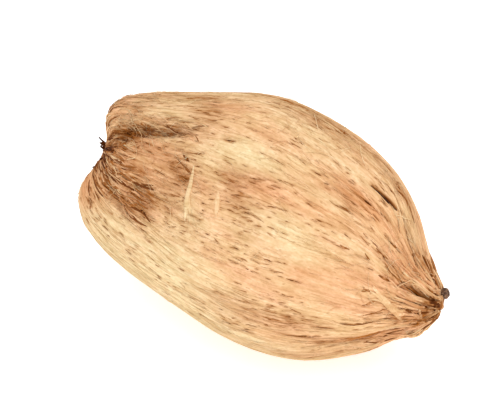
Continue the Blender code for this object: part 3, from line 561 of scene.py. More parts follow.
# The strands that can be told apart: points (place, angle, height over the husk in millimetres), radius,
# how many fibres they are, tone, paleness and darkness
DRAWN = [
    ([(0.467, 57.5, 0), (0.4704, 52, 0.1), (0.4704, 46, 0.2), (0.473, 42, 0.1), (0.476, 38.5, -0.1)],
     2.4, 10, 0.42, 0.8, 0),
    ([(0.471, 47, 0.1), (0.476, 43, 0.2), (0.482, 40, -0.1)], 1.3, 4, 0.42, 0.75, 0),
    ([(0.511, 54, -0.1), (0.515, 51, 0), (0.518, 46.7, 0), (0.519, 44, -0.1)], 2.1, 8, 0.5, 0.25, 0),
    ([(0.303, 68, 0.4), (0.323, 72.8, 1.4), (0.342, 73, 1.6), (0.350, 69.5, 1.2), (0.347, 65, 0.3)],
     0.16, 1, 0.5, 0.42, 0),
    ([(0.347, 76, 0.3), (0.357, 71.3, 1.4), (0.366, 67.7, 1.6), (0.371, 62, 0.3)], 0.18, 1, 0.5, 0.48, 0),
    ([(0.27, 64, 0.3), (0.313, 67.7, 1.4), (0.341, 71.6, 0.4)], 0.16, 1, 0.5, 0.42, 0),
    ([(0.818, 70, 0.2), (0.845, 73.4, 1), (0.880, 73, 1.6), (0.920, 80, 2), (0.935, 104, 2.2)],
     1.1, 6, 0.43, 0.45, 0),
    ([(0.823, 52, 0.1), (0.852, 54, 1.1), (0.885, 57, 1.7), (0.920, 63, 1.9), (0.94, 85, 1.6)],
     1.3, 6, 0.43, 0.4, 0),
    ([(0.786, 54, 0), (0.813, 52.4, 0.6), (0.845, 49.7, 0.7), (0.87, 48, 0.1)], 1.1, 5, 0.48, 0.3, 0),
    ([(0.754, 40.4, 0), (0.783, 37, 0.3), (0.8165, 28.4, 0.4), (0.84, 25, 0)], 1.8, 8, 0.53, 0.25, 0),
    ([(0.776, 38, 0), (0.80, 34.4, 0.4), (0.82, 33, 0.1)], 0.99, 5, 0.48, 0.28, 0),
    ([(0.872, 40, 0.5), (0.884, 28, 1.4), (0.893, 18, 1.3)], 1.1, 5, 0.43, 0.42, 0),
    ([(0.885, 48, 0.3), (0.92, 57, 1.4), (0.95, 80, 1)], 0.77, 4, 0.53, 0.25, 0),
    ([(0.89, 36, 0.2), (0.924, 41, 1.2), (0.955, 55, 0.8)], 0.77, 4, 0.58, 0.2, 0),
    ([(0.85, 28, 0.1), (0.87, 24, 0.9), (0.89, 16, 0.8), (0.905, 6, 0.2)], 0.99, 5, 0.58, 0.15, 0),
    ([(0.84, 84, 0.1), (0.87, 84, 0.7), (0.90, 88, 1.2), (0.925, 96, 1.4)], 0.99, 5, 0.48, 0.25, 0),
    ([(0.84, 100, 0.1), (0.87, 100, 0.6), (0.90, 102, 0.8), (0.92, 108, 0.9)], 0.99, 5, 0.53, 0.2, 0),
    ([(0.833, 80, 0.3), (0.822, 70, 0.8), (0.812, 61, 0.8), (0.803, 53, 0.3)], 0.37, 4, 0.28, 0.45, 0),
    ([(0.828, 76, 0.3), (0.818, 66, 0.9), (0.806, 57, 0.5)], 0.29, 3, 0.28, 0.45, 0),
    ([(0.24, 62, 0.3), (0.27, 62.5, 1.2), (0.295, 64.5, 1.6), (0.32, 66.5, 0.5)], 0.32, 2, 0.3, 0.48, 0),
    ([(0.22, 34.5, 0.3), (0.26, 34.8, 1), (0.30, 35.5, 1), (0.335, 34, 0.4)], 0.44, 3, 0.3, 0.51, 0),
    ([(0.23, 30, 0.3), (0.27, 31.5, 0.9), (0.30, 31.5, 0.8), (0.33, 33, 0.2)], 0.36, 2, 0.4, 0.36, 0),
    ([(0.27, 45, 0.3), (0.295, 40, 1), (0.305, 37.5, 1), (0.318, 39, 0.3)], 0.56, 3, 0.3, 0.48, 0),
    ([(0.16, 50, 0.4), (0.20, 49.5, 1), (0.25, 49, 1), (0.31, 45, 0.3)], 0.48, 3, 0.5, 0.3, 0),
    ([(0.14, 57, 0.4), (0.20, 56, 1), (0.26, 55, 0.8), (0.32, 53, 0.3)], 0.48, 3, 0.6, 0.18, 0.1),
    ([(0.15, 45, 0.3), (0.20, 44, 0.8), (0.24, 42, 0.8), (0.29, 43, 0.2)], 0.4, 2, 0.6, 0.21, 0),
    ([(0.265, 24, 0.2), (0.28, 25, 0.9), (0.295, 28, 1.1), (0.307, 31, 0.4)], 0.32, 2, 0.3, 0.54, 0),
    ([(0.302, 21, 0.3), (0.304, 24, 0.9), (0.306, 28, 0.3)], 0.28, 1, 0.3, 0.54, 0),
    ([(0.86, 10, 0.2), (0.89, 6, 1), (0.915, -4, 1.1), (0.935, -20, 0.4)], 0.77, 5, 0.53, 0.15, 0),
    ([(0.78, -14, 0.1), (0.82, -16, 0.7), (0.86, -24, 0.9), (0.90, -38, 0.4)], 0.99, 5, 0.53, 0.1, 0),
    ([(0.73, 96, 0.1), (0.745, 104, 0.5), (0.76, 113, 0.2)], 0.3, 1, 0.3, 0.7, 0),
    ([(0.555, 121, 0.2), (0.57, 112, 0.8), (0.585, 104, 0.3)], 0.2, 1, 0.2, 0.9, 0),
    ([(0.63, 118, 0.2), (0.64, 110, 0.7), (0.66, 103, 0.3)], 0.2, 1, 0.2, 0.9, 0),
    ([(0.12, 47, 0.3), (0.16, 46, 0.9), (0.20, 45, 0.8), (0.25, 43.5, 0.1)], 0.6, 3, 0.5, 0, 1),
    ([(0.12, 42, 0.3), (0.16, 41, 1), (0.20, 40, 0.9), (0.26, 38.5, 0.1)], 0.7, 4, 0.5, 0, 1.1),
    ([(0.12, 38, 0.3), (0.16, 37, 0.9), (0.20, 36, 0.8), (0.24, 35, 0.1)], 0.6, 4, 0.5, 0, 0.9),
    ([(0.13, 34, 0.2), (0.16, 33, 0.8), (0.19, 32, 0.8), (0.23, 30.5, 0.1)], 0.6, 3, 0.5, 0, 1.1),
    ([(0.13, 29, 0.2), (0.16, 28, 0.8), (0.19, 27, 0.7), (0.22, 26, 0.1)], 0.5, 3, 0.5, 0, 0.8),
]

# Dark points at the stem scar: place and angle of the root, how far the tip stands off along the
# husk's axis and outward, and how many fibres run together in it. The roots are sunk into the husk, and
# the flat side of the fibres faces SPIKE_FACING.
SPIKES = [
    (0.03, 84, 4.4, 6.6, 7), (0.045, 70, 4.2, 3, 7), (0.06, 58, 3.4, 1.8, 8), (0.10, 50, 1.8, 1.2, 5),
    (0.10, 20, 1.4, 1.2, 6), (0.05, 130, 3.5, 2.5, 6), (0.06, 175, 4.2, 2, 7), (0.05, 220, 3.4, 2.5, 6),
    (0.06, 265, 4.4, 2.2, 7), (0.05, 310, 3.6, 2.4, 6), (0.08, 345, 3, 1.5, 6), (0.12, 34, 1, 1.6, 6),
    (0.07, 100, 2.2, 2.6, 5),
]
SPIKE_SUNK = 2.5
SPIKE_FACING = (0.13, -0.62, 0.77)

# The nub beside the blunt tip: place and angle of its root, height of its middle, its radii, and the rings,
# meridians and dents of its mesh
NUB_PLACE = 0.93
NUB_ANGLE = 118.0
NUB_HEIGHT = 2.6
NUB_RADII = (3.1, 2.6, 2.3)
NUB_RINGS = 40
NUB_MERIDIANS = 56
NUB_DENTS = 26

# The places that strands keep between
STRAND_PLACES = (0.03, 0.965)

# Single fibres that lie all over: name, how many, lengths and radii in millimetres, share of dark ones, and
# points along each
LYING = [
    ("fibres_long", 4200, (18, 42), (0.16, 0.32), 0.0, 8),
    ("fibres_short", 5600, (7, 18), (0.14, 0.30), 0.05, 6),
]

# Coarse strands: name, how many, where, lengths, radii and heights in millimetres, spread of their heading
# in degrees, and the shares of dark and of pale ones
COARSE = [
    ("stem_strands", 720, STEM_SPOTS, (8, 26), (0.3, 0.7), (0.1, 0.8), 6, (0.4, 0.06)),
    ("tip_strands", 300, TIP_SPOTS, (9, 24), (0.4, 1.0), (0.1, 0.7), 7, (0.24, 0.16)),
    ("crease_strands", 120, CREASE_SPOTS, (4, 10), (0.2, 0.42), (0.1, 0.6), 18, (0.3, 0.15)),
]


def crease_depth(points, path, width, depth):
    """Depth of one crease at each point: deepest on its path, running out at both ends."""
    places = through(path)(np.linspace(0, 1, WIDE_STEPS if width > WIDE_CREASE else NARROW_STEPS))
    line = form(places[:, 0], places[:, 1])
    flat = points.reshape(-1, 3)
    near = np.full(len(flat), OUT_OF_REACH)
    nearest = np.zeros(len(flat), int)
    for i, spot in enumerate(line):
        gap = np.linalg.norm(flat - spot, axis=1)
        closer = gap < near
        near[closer] = gap[closer]
        nearest[closer] = i
    running_out = np.sin(pi * (nearest + 1) / (len(line) + 1)) ** 0.5
    return (depth * running_out * bump(near, 0, width)).reshape(points.shape[:-1])


def girth(place, angle):
    """Distance of the form's surface from its spine, in millimetres."""
    points = form(place, angle)
    return np.linalg.norm(points[..., 1:] - spine_at(points[..., 0] + LENGTH / 2), axis=-1)


def lens(place, angle, radius, spot, length, width, lean):
    """1 in the middle of a thin lens at a spot, (place, angle), that leans across the fibres; 0 outside."""
    down = (length_at(place) - length_at(spot[0])) / (length / 2)
    side = np.radians(turned(angle, spot[1] + lean * (place - spot[0]))) * radius / (width / 2)
    return np.maximum(0, 1 - down**2) * bump(side, 0, 1)


def patch(place, angle, spot):
    """1 in the middle of a soft patch: (place, angle, half length in places, half width in degrees)."""
    return bump(place, spot[0], spot[2]) * bump(turned(angle, spot[1]), 0, spot[3])


def patches(place, angle, spots):
    """Strength of a colour: the soft patches that it is laid on in, joined."""
    total = np.zeros(np.broadcast(place, angle).shape)
    for *spot, strength in spots:
        total = 1 - (1 - total) * (1 - np.minimum(1, strength * patch(place, angle, spot)))
    return total


def hidden_patches(rng, strengths):
    """Patches like those in front, for the side of the husk that the photo doesn't show."""
    found = []
    for strength in rng.uniform(*strengths, HIDDEN_PATCHES):
        place, angle = rng.uniform(0.2, 0.85), rng.uniform(*HIDDEN_SIDE)
        found.append((place, angle, rng.uniform(0.03, 0.08), rng.uniform(4, 14), strength))
    return found


rng = np.random.default_rng(SEED)
swelling = Grain(rng, 4, 9)
lumps = Grain(rng, 9, 40)
wander = Grain(rng, 6, 14)
fine_wander = Grain(rng, 14, 70)
coarse = Fibres(rng, 6, 64)
middling = Fibres(rng, 9, 118)
fine = Fibres(rng, 14, 208)

# Where the fibres are coarse, and where the gaps between them are deep and painted with shade: middle
# place and half length at the stem end and at the tip
STEM_END = (0.21, 0.15)
TIP_END = (0.88, 0.11)
STEM_SEAM_SHADE = (0.22, 0.12)
TIP_SEAM_SHADE = (0.86, 0.09)

# Heights of the soft swellings and lumps, and how near the ends all relief runs out
SWELLING_HEIGHT = 0.45
LUMP_HEIGHT = 0.3
CLOSING = 0.06

# Heights of the fibres in millimetres: everywhere, and how much more at the stem end and at the tip
FIBRE_HEIGHTS = [(coarse, 0.15, 0.6, 1.9), (middling, 0.2, 0.9, 0.4), (fine, 0.2, 0.3, 0.0)]


def laid(place, angle):
    """The angle that the fibre at a point comes from: fibres wander a little to either side."""
    return angle + 2.4 * wander(place, angle) + 0.5 * fine_wander(place, angle)


def fans(angle):
    """1 where the fibres at the stem end are coarse and open, and near 0 on the smooth lobes between."""
    return sum(bump(turned(angle, centre), 0, width) for centre, width in FANS)


def relief(place, angle, points):
    """Height of the fibre bundles, fibres and creases over the smooth form, in millimetres."""
    lie = laid(place, angle)
    stem = bump(place, *STEM_END) * fans(angle)
    tip = bump(place, *TIP_END)
    closing = np.minimum(1, np.minimum(place, 1 - place) / CLOSING)
    height = SWELLING_HEIGHT * swelling(place, angle) + LUMP_HEIGHT * lumps(place, lie)
    for fibres, everywhere, at_stem, at_tip in FIBRE_HEIGHTS:
        height = height + (everywhere + at_stem * stem + at_tip * tip) * (fibres(place, lie) - 0.55)
    for path, width, depth in CREASES:
        height = height - crease_depth(points, path, width, depth)
    for path, width, dark in GAPS:
        height = height - crease_depth(points, path, max(1.2, width), 0.7 * width * dark)
    return (height - 0.2 * stem - 0.3 * tip) * closing


def seam_shade(place, angle):
    """Painted shade between the fibres: at the two ends they are coarse, with deep gaps painted dark."""
    lie = laid(place, angle)
    uneven = lumps(place, lie)
    stem = bump(place, *STEM_SEAM_SHADE) * fans(angle) * middling.seam(place, lie) * (0.6 + 0.8 * uneven)
    tip = bump(place, *TIP_SEAM_SHADE) * coarse.seam(place, lie) * (0.7 + 0.9 * uneven)
    return np.maximum(0, stem) + np.maximum(0, tip)


def to_frame(points):
    """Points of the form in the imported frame, in metres, none below the surface it lies on."""
    placed = (points + FORM_ORIGIN) * MM
    placed[..., 2] = np.maximum(placed[..., 2], 0)
    return placed


def new_layer(mesh, name, values):
    """An attribute of the mesh's points: one number each, or one vector each from rows of three."""
    values = np.ascontiguousarray(values, np.float32)
    kind, key = ("FLOAT", "value") if values.ndim == 1 else ("FLOAT_VECTOR", "vector")
    mesh.attributes.new(name, kind, "POINT").data.foreach_set(key, values.ravel())


def new_object(name, data):
    """An object that is linked to the scene."""
    obj = bpy.data.objects.new(name, data)
    bpy.context.scene.collection.objects.link(obj)
    return obj


def new_mesh(name, points, faces, material):
    """A mesh object with one material."""
    mesh = bpy.data.meshes.new(name)
    mesh.from_pydata(points, [], faces)
    mesh.materials.append(material)
    return new_object(name, mesh)


def new_piece(name, points, faces, material):
    """One piece of the coconut as a smooth mesh object, riding on the part's only body."""
    piece = new_mesh(name, points.tolist(), faces, material)
    piece.data.shade_smooth()
    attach(piece, "root")
    return piece


def ring_faces(rings, columns):
    """Faces of a closed mesh of rings, whose last two points are the poles before and after the rings."""
    grid = np.arange(rings * columns).reshape(rings, columns)
    after = np.roll(grid, -1, 1)
    faces = np.stack([grid[:-1], grid[1:], after[1:], after[:-1]], -1).reshape(-1, 4).tolist()
    faces += [(rings * columns, int(a), int(b)) for a, b in zip(grid[0], after[0])]
    faces += [(rings * columns + 1, int(b), int(a)) for a, b in zip(grid[-1], after[-1])]
    return faces


def husk_places():
    """Places of the rings: even along the surface, with some more of them at the ends."""
    along = np.linspace(0, 1, RINGS + 2)
    return RING_EVENNESS * place_at(along * FULL_LENGTH) + (1 - RING_EVENNESS) * along


class Surface:
    """The husk's fine surface on a grid of rings and meridians: its relief, and what colours it."""

    def __init__(self):
        self.places = husk_places()[1:-1]
        self.angles = np.arange(MERIDIANS) * 360 / MERIDIANS
        self.place, self.angle = np.meshgrid(self.places, self.angles, indexing="ij")
        self.base = form(self.place, self.angle)
        self.girth = girth(self.place, self.angle)
        self.layers = {"height": relief(self.place, self.angle, self.base), "gap": np.zeros(self.place.shape)}
        # Painted shade: each slit is darkened towards near black, the more the deeper it is cut.
        for place, angle, length, width, depth, lean in SLITS:
            self.cut((place, angle), length, max(width, NARROWEST_SLIT), 1 + depth / 4, depth, lean)
        self.layers["open"] = self.layers["gap"].copy()
        for place, angle, length, width, dark, lean in ALL_DASHES:
            width = max(1.3 * width, NARROWEST_DASH)
            self.cut((place, angle), length, width, 0.5 * dark, 0.4 * dark, lean)
        lie = laid(self.place, self.angle)
        torn = np.clip(2.4 * (fine(self.place, lie) - 0.3), 0.25, 1.4) * (0.5 + lumps(self.place, lie))
        # Partly painted shade: the nearly black patches in the stem cavity and towards the tip join the gaps.
        self.layers["dark"] = np.clip(1.25 * patches(self.place, self.angle, DARK_AND_SHADE) * torn, 0, 1.4)
        self.layers["gap"] = np.maximum(self.layers["gap"], self.layers["dark"])
        patch_rng = np.random.default_rng(SEED + 2)
        for name, spots, strengths in (
            ("pale", PALE, (0.2, 0.9)), ("orange", ORANGE, (0.2, 0.6)), ("brown", BROWN, (0.1, 0.6)),
        ):
            self.layers[name] = patches(self.place, self.angle, spots + hidden_patches(patch_rng, strengths))
        # Painted shade: the husk is darkened the deeper its relief lies below the smooth form, and between
        # coarse fibres.
        sunk = -self.layers["height"] / DARKEST_SHADE_DEPTH
        self.layers["hollow_shade"] = np.clip(np.maximum(sunk, seam_shade(self.place, self.angle)), 0, 1)

    def cut(self, spot, length, width, dark, depth, lean):
        """Sinks one thin lens into the relief and marks it as a gap."""
        reach = 2.5 + abs(lean) * 0.03 + np.degrees(1.5 * width / girth(*spot))
        rows = np.nonzero(np.abs(length_at(self.places) - length_at(spot[0])) < length / 2)[0]
        columns = np.nonzero(np.abs(turned(self.angles, spot[1])) < reach)[0]
        window = np.ix_(rows, columns)
        inside = lens(self.place[window], self.angle[window], self.girth[window], spot, length, width, lean)
        self.layers["gap"][window] = np.maximum(self.layers["gap"][window], dark * inside)
        self.layers["height"][window] -= depth * inside

    def sample(self, name, place, angle):
        """A layer's value anywhere on the husk, from its four nearest vertices."""
        down = np.interp(place, self.places, np.arange(len(self.places)))
        row = np.clip(down.astype(int), 0, len(self.places) - 2)
        return blended(self.layers[name], row, down - row, *cell_round(angle, MERIDIANS))

    def point(self, place, angle, lift):
        """A point so far above the relief, in the form's frame."""
        outward = directions(place, angle)[2]
        return form(place, angle) + outward * (self.sample("height", place, angle) + lift)[..., None]


def grain_space(place, angle):
    """What streaks follow: length along the husk, and where on a drum of its width the fibre comes from."""
    lie = np.radians(laid(place, angle))
    return np.stack([length_at(place), DRUM_RADIUS * np.cos(lie), DRUM_RADIUS * np.sin(lie)], -1)


def husk_piece(surface, material):
    """The whole husk as one closed fine mesh, with what its material reads."""
    height = surface.layers["height"]
    points = to_frame(surface.base + directions(surface.place, surface.angle)[2] * height[..., None])
    poles = to_frame(form(np.array([0.0, 1.0]), np.array([0.0, 0.0])))
    faces = ring_faces(*height.shape)
    husk = new_piece("husk_surface", np.vstack([points.reshape(-1, 3), poles]), faces, material)
    space = grain_space(surface.place, surface.angle).reshape(-1, 3)
    new_layer(husk.data, "grain_space", np.vstack([space, [[0, 0, 0], [FULL_LENGTH, 0, 0]]]))
    for name, at_poles in (("pale", 0), ("orange", 0), ("brown", 1), ("hollow_shade", 1), ("gap", 1)):
        new_layer(husk.data, name, np.append(surface.layers[name].ravel(), (at_poles, at_poles)))
    new_layer(husk.data, "tone", np.full(height.size + 2, 0.5))
    return husk


def all_dashes(dash_rng):
    """The gaps that the photo shows, those in clusters round them, and strays all over."""
    found = [(*dash, 0)[:6] for dash in DASHES]
    clusters = list(CLUSTERS)
    for _ in range(HIDDEN_CLUSTERS):
        spot = (dash_rng.uniform(0.1, 0.93), dash_rng.uniform(*HIDDEN_SIDE))
        size = (dash_rng.uniform(0.03, 0.07), dash_rng.uniform(4, 12))
        clusters.append((*spot, *size, int(dash_rng.uniform(14, 44))))
    for place, angle, half_length, half_width, count in clusters:
        lean = dash_rng.normal(0, 40)
        for _ in range(count):
            near_place = place + dash_rng.normal(0, 0.6) * half_length
            near_angle = angle + dash_rng.normal(0, 0.6) * half_width
            found.append((near_place, near_angle, *dash_size(dash_rng), lean + dash_rng.normal(0, 40)))
    for _ in range(STRAY_DASHES):
        spot = (float(place_at(dash_rng.uniform(0.08, 0.97) * FULL_LENGTH)), dash_rng.uniform(0, 360))
        if fibre_density(*spot) > dash_rng.uniform(0, 1):
            found.append((*spot, *dash_size(dash_rng), dash_rng.normal(0, 50)))
    return [dash for dash in found if 0.03 < dash[0] < 0.97]


def dash_size(dash_rng):
    """Length, width and darkness of one of the smaller gaps."""
    return dash_rng.uniform(2, 7), dash_rng.uniform(0.5, 1.0), dash_rng.uniform(0.25, 0.85)


def wandering(place, angle, length, heading, bend, steps):
    """Centre lines of strands, one a row: each runs at a heading to the fibres, in degrees, and bends."""
    run = np.linspace(-0.5, 0.5, steps)[None]
    turn = np.radians(heading[:, None] + bend[:, None] * run)
    step = length[:, None] / (steps - 1)
    down = np.cumsum(np.cos(turn), 1) * step
    side = np.cumsum(np.sin(turn), 1) * step
    down = down - down.mean(1, keepdims=True)
    side = side - side.mean(1, keepdims=True)
    places = np.clip(place_at(length_at(place)[:, None] + down), 0.02, 0.985)
    follow = laid(place, angle)[:, None] - laid(places, angle[:, None])
    return places, angle[:, None] + follow + np.degrees(side / girth(place, angle)[:, None])


def tubes(name, centre, outward, space, radius, layers, sides, flat):
    """Many strands as one piece: rows of centre points in the form's frame, with a radius at each."""
    tangent = np.gradient(centre, axis=1)
    tangent /= np.linalg.norm(tangent, axis=-1, keepdims=True)
    across = np.cross(outward, tangent)
    across /= np.linalg.norm(across, axis=-1, keepdims=True)
    over = np.cross(tangent, across)
    turns = pi / 2 + np.arange(sides) * 2 * pi / sides
    ring = across[..., None, :] * np.cos(turns)[:, None] + flat * over[..., None, :] * np.sin(turns)[:, None]
    points = centre[..., None, :] + radius[..., None, None] * ring
    strands, steps = radius.shape
    index = np.arange(strands * steps * sides).reshape(strands, steps, sides)
    after = np.roll(index, -1, 2)
    faces = np.stack([index[:, :-1], after[:, :-1], after[:, 1:], index[:, 1:]], -1).reshape(-1, 4).tolist()
    faces += index[:, 0, ::-1].tolist() + index[:, -1].tolist()
    piece = new_piece(name, to_frame(points).reshape(-1, 3), faces, packed)
    new_layer(piece.data, "grain_space", np.repeat(space.reshape(-1, 3), sides, axis=0))
    for layer, values in layers.items():
        new_layer(piece.data, layer, np.repeat(np.broadcast_to(values, (strands, steps)).ravel(), sides))
    return piece


def bundle(name, place, angle, lift, radius, tone, sides=3, flat=0.8, gap=0.0, pale=None):
    """Strands that lie on the husk. Each row of the arrays is one strand, each column a point along it:
    where it lies, how high over the relief and how thick it is. Tone, gap and pale are one value a strand."""
    layers = {layer: surface.sample(layer, place, angle) for layer in ("pale", "orange", "brown")}
    if pale is not None:
        layers["pale"] = pale[:, None]
        layers["orange"] = layers["orange"] * (1 - pale[:, None])
        layers["brown"] = layers["brown"] * (1 - 0.8 * pale[:, None])
    # Strands take the painted shade of the husk under them, less the higher they stand.
    layers["hollow_shade"] = np.clip(surface.sample("hollow_shade", place, angle) - np.maximum(lift, 0) / 2, 0, 1)
    gap = np.broadcast_to(gap, len(place))[:, None]
    # Strands over the nearly black patches take them on, the painted shade in them included.
    layers["gap"] = np.maximum(gap, 0.9 * surface.sample("dark", place, angle))
    layers["tone"] = tone[:, None]
    centre = surface.point(place, angle, lift)
    outward = directions(place, angle)[2]
    return tubes(name, centre, outward, grain_space(place, angle), radius, layers, sides, flat)


def spread(count, spots):
    """Places and angles at random in soft spots: (place, angle, half length, half width, share)."""
    spots = np.array(spots, float)
    chosen = spots[strand_rng.choice(len(spots), count, p=spots[:, 4] / spots[:, 4].sum())]
    place = chosen[:, 0] + chosen[:, 2] * strand_rng.uniform(-1, 1, count)
    angle = chosen[:, 1] + chosen[:, 3] * strand_rng.uniform(-1, 1, count)
    return np.clip(place, *STRAND_PLACES), angle


def strewn(count, spots, lengths, heading, bend, steps):
    """Centre lines of strands in soft spots, with lengths, headings and bends at random."""
    place, angle = spread(count, spots)
    length = strand_rng.uniform(*lengths, count)
    headings = strand_rng.normal(0, heading, count)
    return wandering(place, angle, length, headings, strand_rng.normal(0, bend, count), steps)


def lying_fibres(name, count, lengths, radii, dark_share, steps):
    """Single fibres that lie along the husk all over it, with their ends tucked in."""
    place = place_at(strand_rng.uniform(0.02, 0.985, count) * FULL_LENGTH)
    angle = strand_rng.uniform(0, 360, count)
    kept = girth(place, angle) > strand_rng.uniform(0, 66, count)
    kept &= fibre_density(place, angle) > strand_rng.uniform(0, 1, count)
    kept &= surface.sample("gap", place, angle) < strand_rng.uniform(0.15, 0.6, count)
    place, angle = place[kept], angle[kept]
    count = len(place)
    arch = np.sin(pi * np.linspace(0, 1, steps)[None]) ** 0.5
    heading = strand_rng.normal(0, 5, count)
    length = strand_rng.uniform(*lengths, count)
    places, angles = wandering(place, angle, length, heading, strand_rng.normal(0, 14, count), steps)
    clear = surface.sample("open", places, angles).max(1) < 0.3
    radius = strand_rng.uniform(*radii, (count, 1)) * (0.25 + 0.75 * arch)
    lift = strand_rng.uniform(-0.06, 0.18, (count, 1)) * arch - 0.03
    tone = np.clip(strand_rng.normal(0.5, 0.24, count), 0, 1)
    gap = np.where(strand_rng.uniform(0, 1, count) < dark_share, strand_rng.uniform(0.2, 0.6, count), 0)
    rows = (array[clear] for array in (places, angles, lift, radius, tone))
    return bundle(name, *rows, gap=gap[clear])


def fibre_density(place, angle):
    """How many single fibres show: most at the two ends and on the ridges, few on the smooth cheek."""
    smooth = 0
    for spot in SMOOTH:
        smooth = np.maximum(smooth, patch(place, angle, spot))
    return 1 - 0.85 * smooth


def slivers():
    """Each gap as a thin brown lens with torn dark slivers in it."""
    rows = []
    # In the slits the slivers are near black: painted shade inside the slits.
    slits_in_shade = [(*slit[:4], 1.4, slit[5]) for slit in SLITS[1:]]
    for place, angle, length, width, dark, lean in ALL_DASHES + slits_in_shade:
        radius = float(girth(place, angle))
        stretch = float(length_at(place + 0.005) - length_at(place - 0.005)) / 0.01
        heading = np.degrees(np.arctan(radians(lean) * radius / stretch))
        rows.append((
            place, angle, length, heading + strand_rng.normal(0, 3), strand_rng.normal(0, 12),
            0.3 * width + 0.06, 0.22 + 0.3 * dark, -0.06,
        ))
        for _ in range(1 + int(length * width / 9 + strand_rng.uniform(0, 1))):
            along = strand_rng.uniform(-0.25, 0.25) * length
            where = float(place_at(length_at(place) + along))
            side = strand_rng.normal(0, 0.2) * width
            rows.append((
                where, angle + lean * (where - place) + np.degrees(side / radius),
                length * strand_rng.uniform(0.3, 0.65), heading + strand_rng.normal(0, 7),
                strand_rng.normal(0, 20), width * strand_rng.uniform(0.16, 0.3),
                dark * strand_rng.uniform(0.6, 1.15), 0.05,
            ))
    place, angle, length, heading, bend, radius, dark, lift = np.array(rows).T
    steps = 6
    places, angles = wandering(np.clip(place, *STRAND_PLACES), angle, length, heading, bend, steps)
    radius = radius[:, None] * np.sin(pi * np.linspace(0.06, 0.94, steps))[None] ** 0.7
    lift = lift[:, None] + 0 * places
    tone = np.full(len(place), 0.55)
    return bundle("dark_slivers", places, angles, lift, radius, tone, flat=0.5, gap=np.clip(dark, 0, 1.5))


def drawn_gaps():
    """The boldest gaps: each a brown band along its line, with a darker core of uneven width."""
    steps = 16
    run = np.linspace(0, 1, steps)
    rows = []
    for path, width, dark in GAPS:
        turns = (0, *GAPS_TURNS) if path[0][0] > GAPS_REPEAT_FROM else (0,)
        bands = [
            (1.25, 0.3 + 0.2 * dark, -0.15), (0.8, 0.4 + 0.4 * dark, 0.0),
            (0.35 + 0.15 * dark, dark, 0.3 * dark - 0.12),
        ]
        for turn in turns:
            line = through(path)(run)
            for share, gap, lift in bands:
                uneven = 1 + 0.25 * np.interp(run, np.linspace(0, 1, 6), strand_rng.normal(0, 1, 6))
                taper = np.sin(pi * (0.04 + 0.92 * run ** strand_rng.uniform(0.8, 1.25))) ** 0.6
                radius = width * share * taper * uneven
                rows.append((line[:, 0], line[:, 1] + turn, np.full(steps, lift), radius, gap))
    place, angle, lift, radius, gap = (np.array(column) for column in zip(*rows))
    gap = np.clip(gap, 0, 1.5)
    tone = np.full(len(gap), 0.5)
    radius = np.maximum(radius, 0.05)
    return bundle("drawn_gaps", place, angle, lift, radius, tone, sides=6, flat=0.4, gap=gap, pale=0 * gap)


def coarse_strands(name, count, spots, lengths, radii, lifts, heading, shares):
    """Thick strands that stand a little off the husk, tapered, some darker and some paler than it."""
    steps = 11
    run = np.linspace(0, 1, steps)[None]
    places, angles = strewn(count, spots, lengths, heading, 22, steps)
    radius = strand_rng.uniform(*radii, (count, 1)) * (0.2 + 0.8 * np.sin(pi * run) ** 0.6)
    peak = strand_rng.uniform(*lifts, (count, 1))
    lift = peak * np.sin(pi * run ** strand_rng.uniform(0.6, 1.6, (count, 1))) - 0.1
    dark_share, pale_share = shares
    draw = strand_rng.uniform(0, 1, count)
    gap = np.where(draw < dark_share, strand_rng.uniform(0.35, 0.95, count), 0)
    pale = np.where(draw > 1 - pale_share, strand_rng.uniform(0.4, 0.95, count), 0)
    tone = np.clip(strand_rng.normal(0.45, 0.25, count), 0, 1)
    return bundle(name, places, angles, lift, radius, tone, sides=5, flat=0.7, gap=gap, pale=pale)


def hairs(name, count, spots, lengths, radii, lifts, curl):
    """Fine loose fibres that curl over the husk in any direction."""
    steps = 12
    run = np.linspace(0, 1, steps)[None]
    places, angles = strewn(count, spots, lengths, 38, curl, steps)
    radius = strand_rng.uniform(*radii, (count, 1)) * (0.45 + 0.55 * np.sin(pi * run) ** 0.5)
    peak = strand_rng.uniform(*lifts, (count, 1))
    free_end = strand_rng.uniform(0, 1, (count, 1)) < 0.35
    lift = np.where(free_end, peak * run**1.5, peak * np.sin(pi * run)) + 0.05
    pale = strand_rng.uniform(0.3, 1, count)
    tone = np.clip(strand_rng.normal(0.45, 0.2, count), 0, 1)
    return bundle(name, places, angles, lift, radius, tone, sides=3, flat=0.9, pale=pale)


def drawn_strands():
    """The loose strands that can be told apart in front: each is some finer fibres side by side."""
    run = np.linspace(0, 1, 18)
    rows = []
    for path, radius, parts, tone, pale, gap in DRAWN:
        place, angle, lift = through(path)(run).T
        for _ in range(parts):
            apart = strand_rng.normal(0, 0.35) * radius if parts > 1 else 0.0
            fray = strand_rng.normal(0, 1.1) * radius if parts > 1 else 0.0
            side = apart + fray * (2 * run - 1) ** 2 * np.sign(2 * run - 1)
            shrink = 1.0 if parts == 1 else strand_rng.uniform(0.42, 0.62)
            taper = 0.25 + 0.75 * np.sin(pi * np.clip(run * strand_rng.uniform(0.9, 1.05), 0, 1)) ** 0.5
            rows.append((
                place, angle + np.degrees(side / girth(place, angle)), lift + strand_rng.uniform(-0.15, 0.2),
                radius * shrink * taper, tone + strand_rng.normal(0, 0.12), pale, gap,
            ))
    place, angle, lift, radius, tone, pale, gap = (np.array(column) for column in zip(*rows))
    tone = np.clip(tone, 0, 1)
    return bundle("drawn_strands", place, angle, lift, radius, tone, sides=6, flat=0.7, gap=gap, pale=pale)


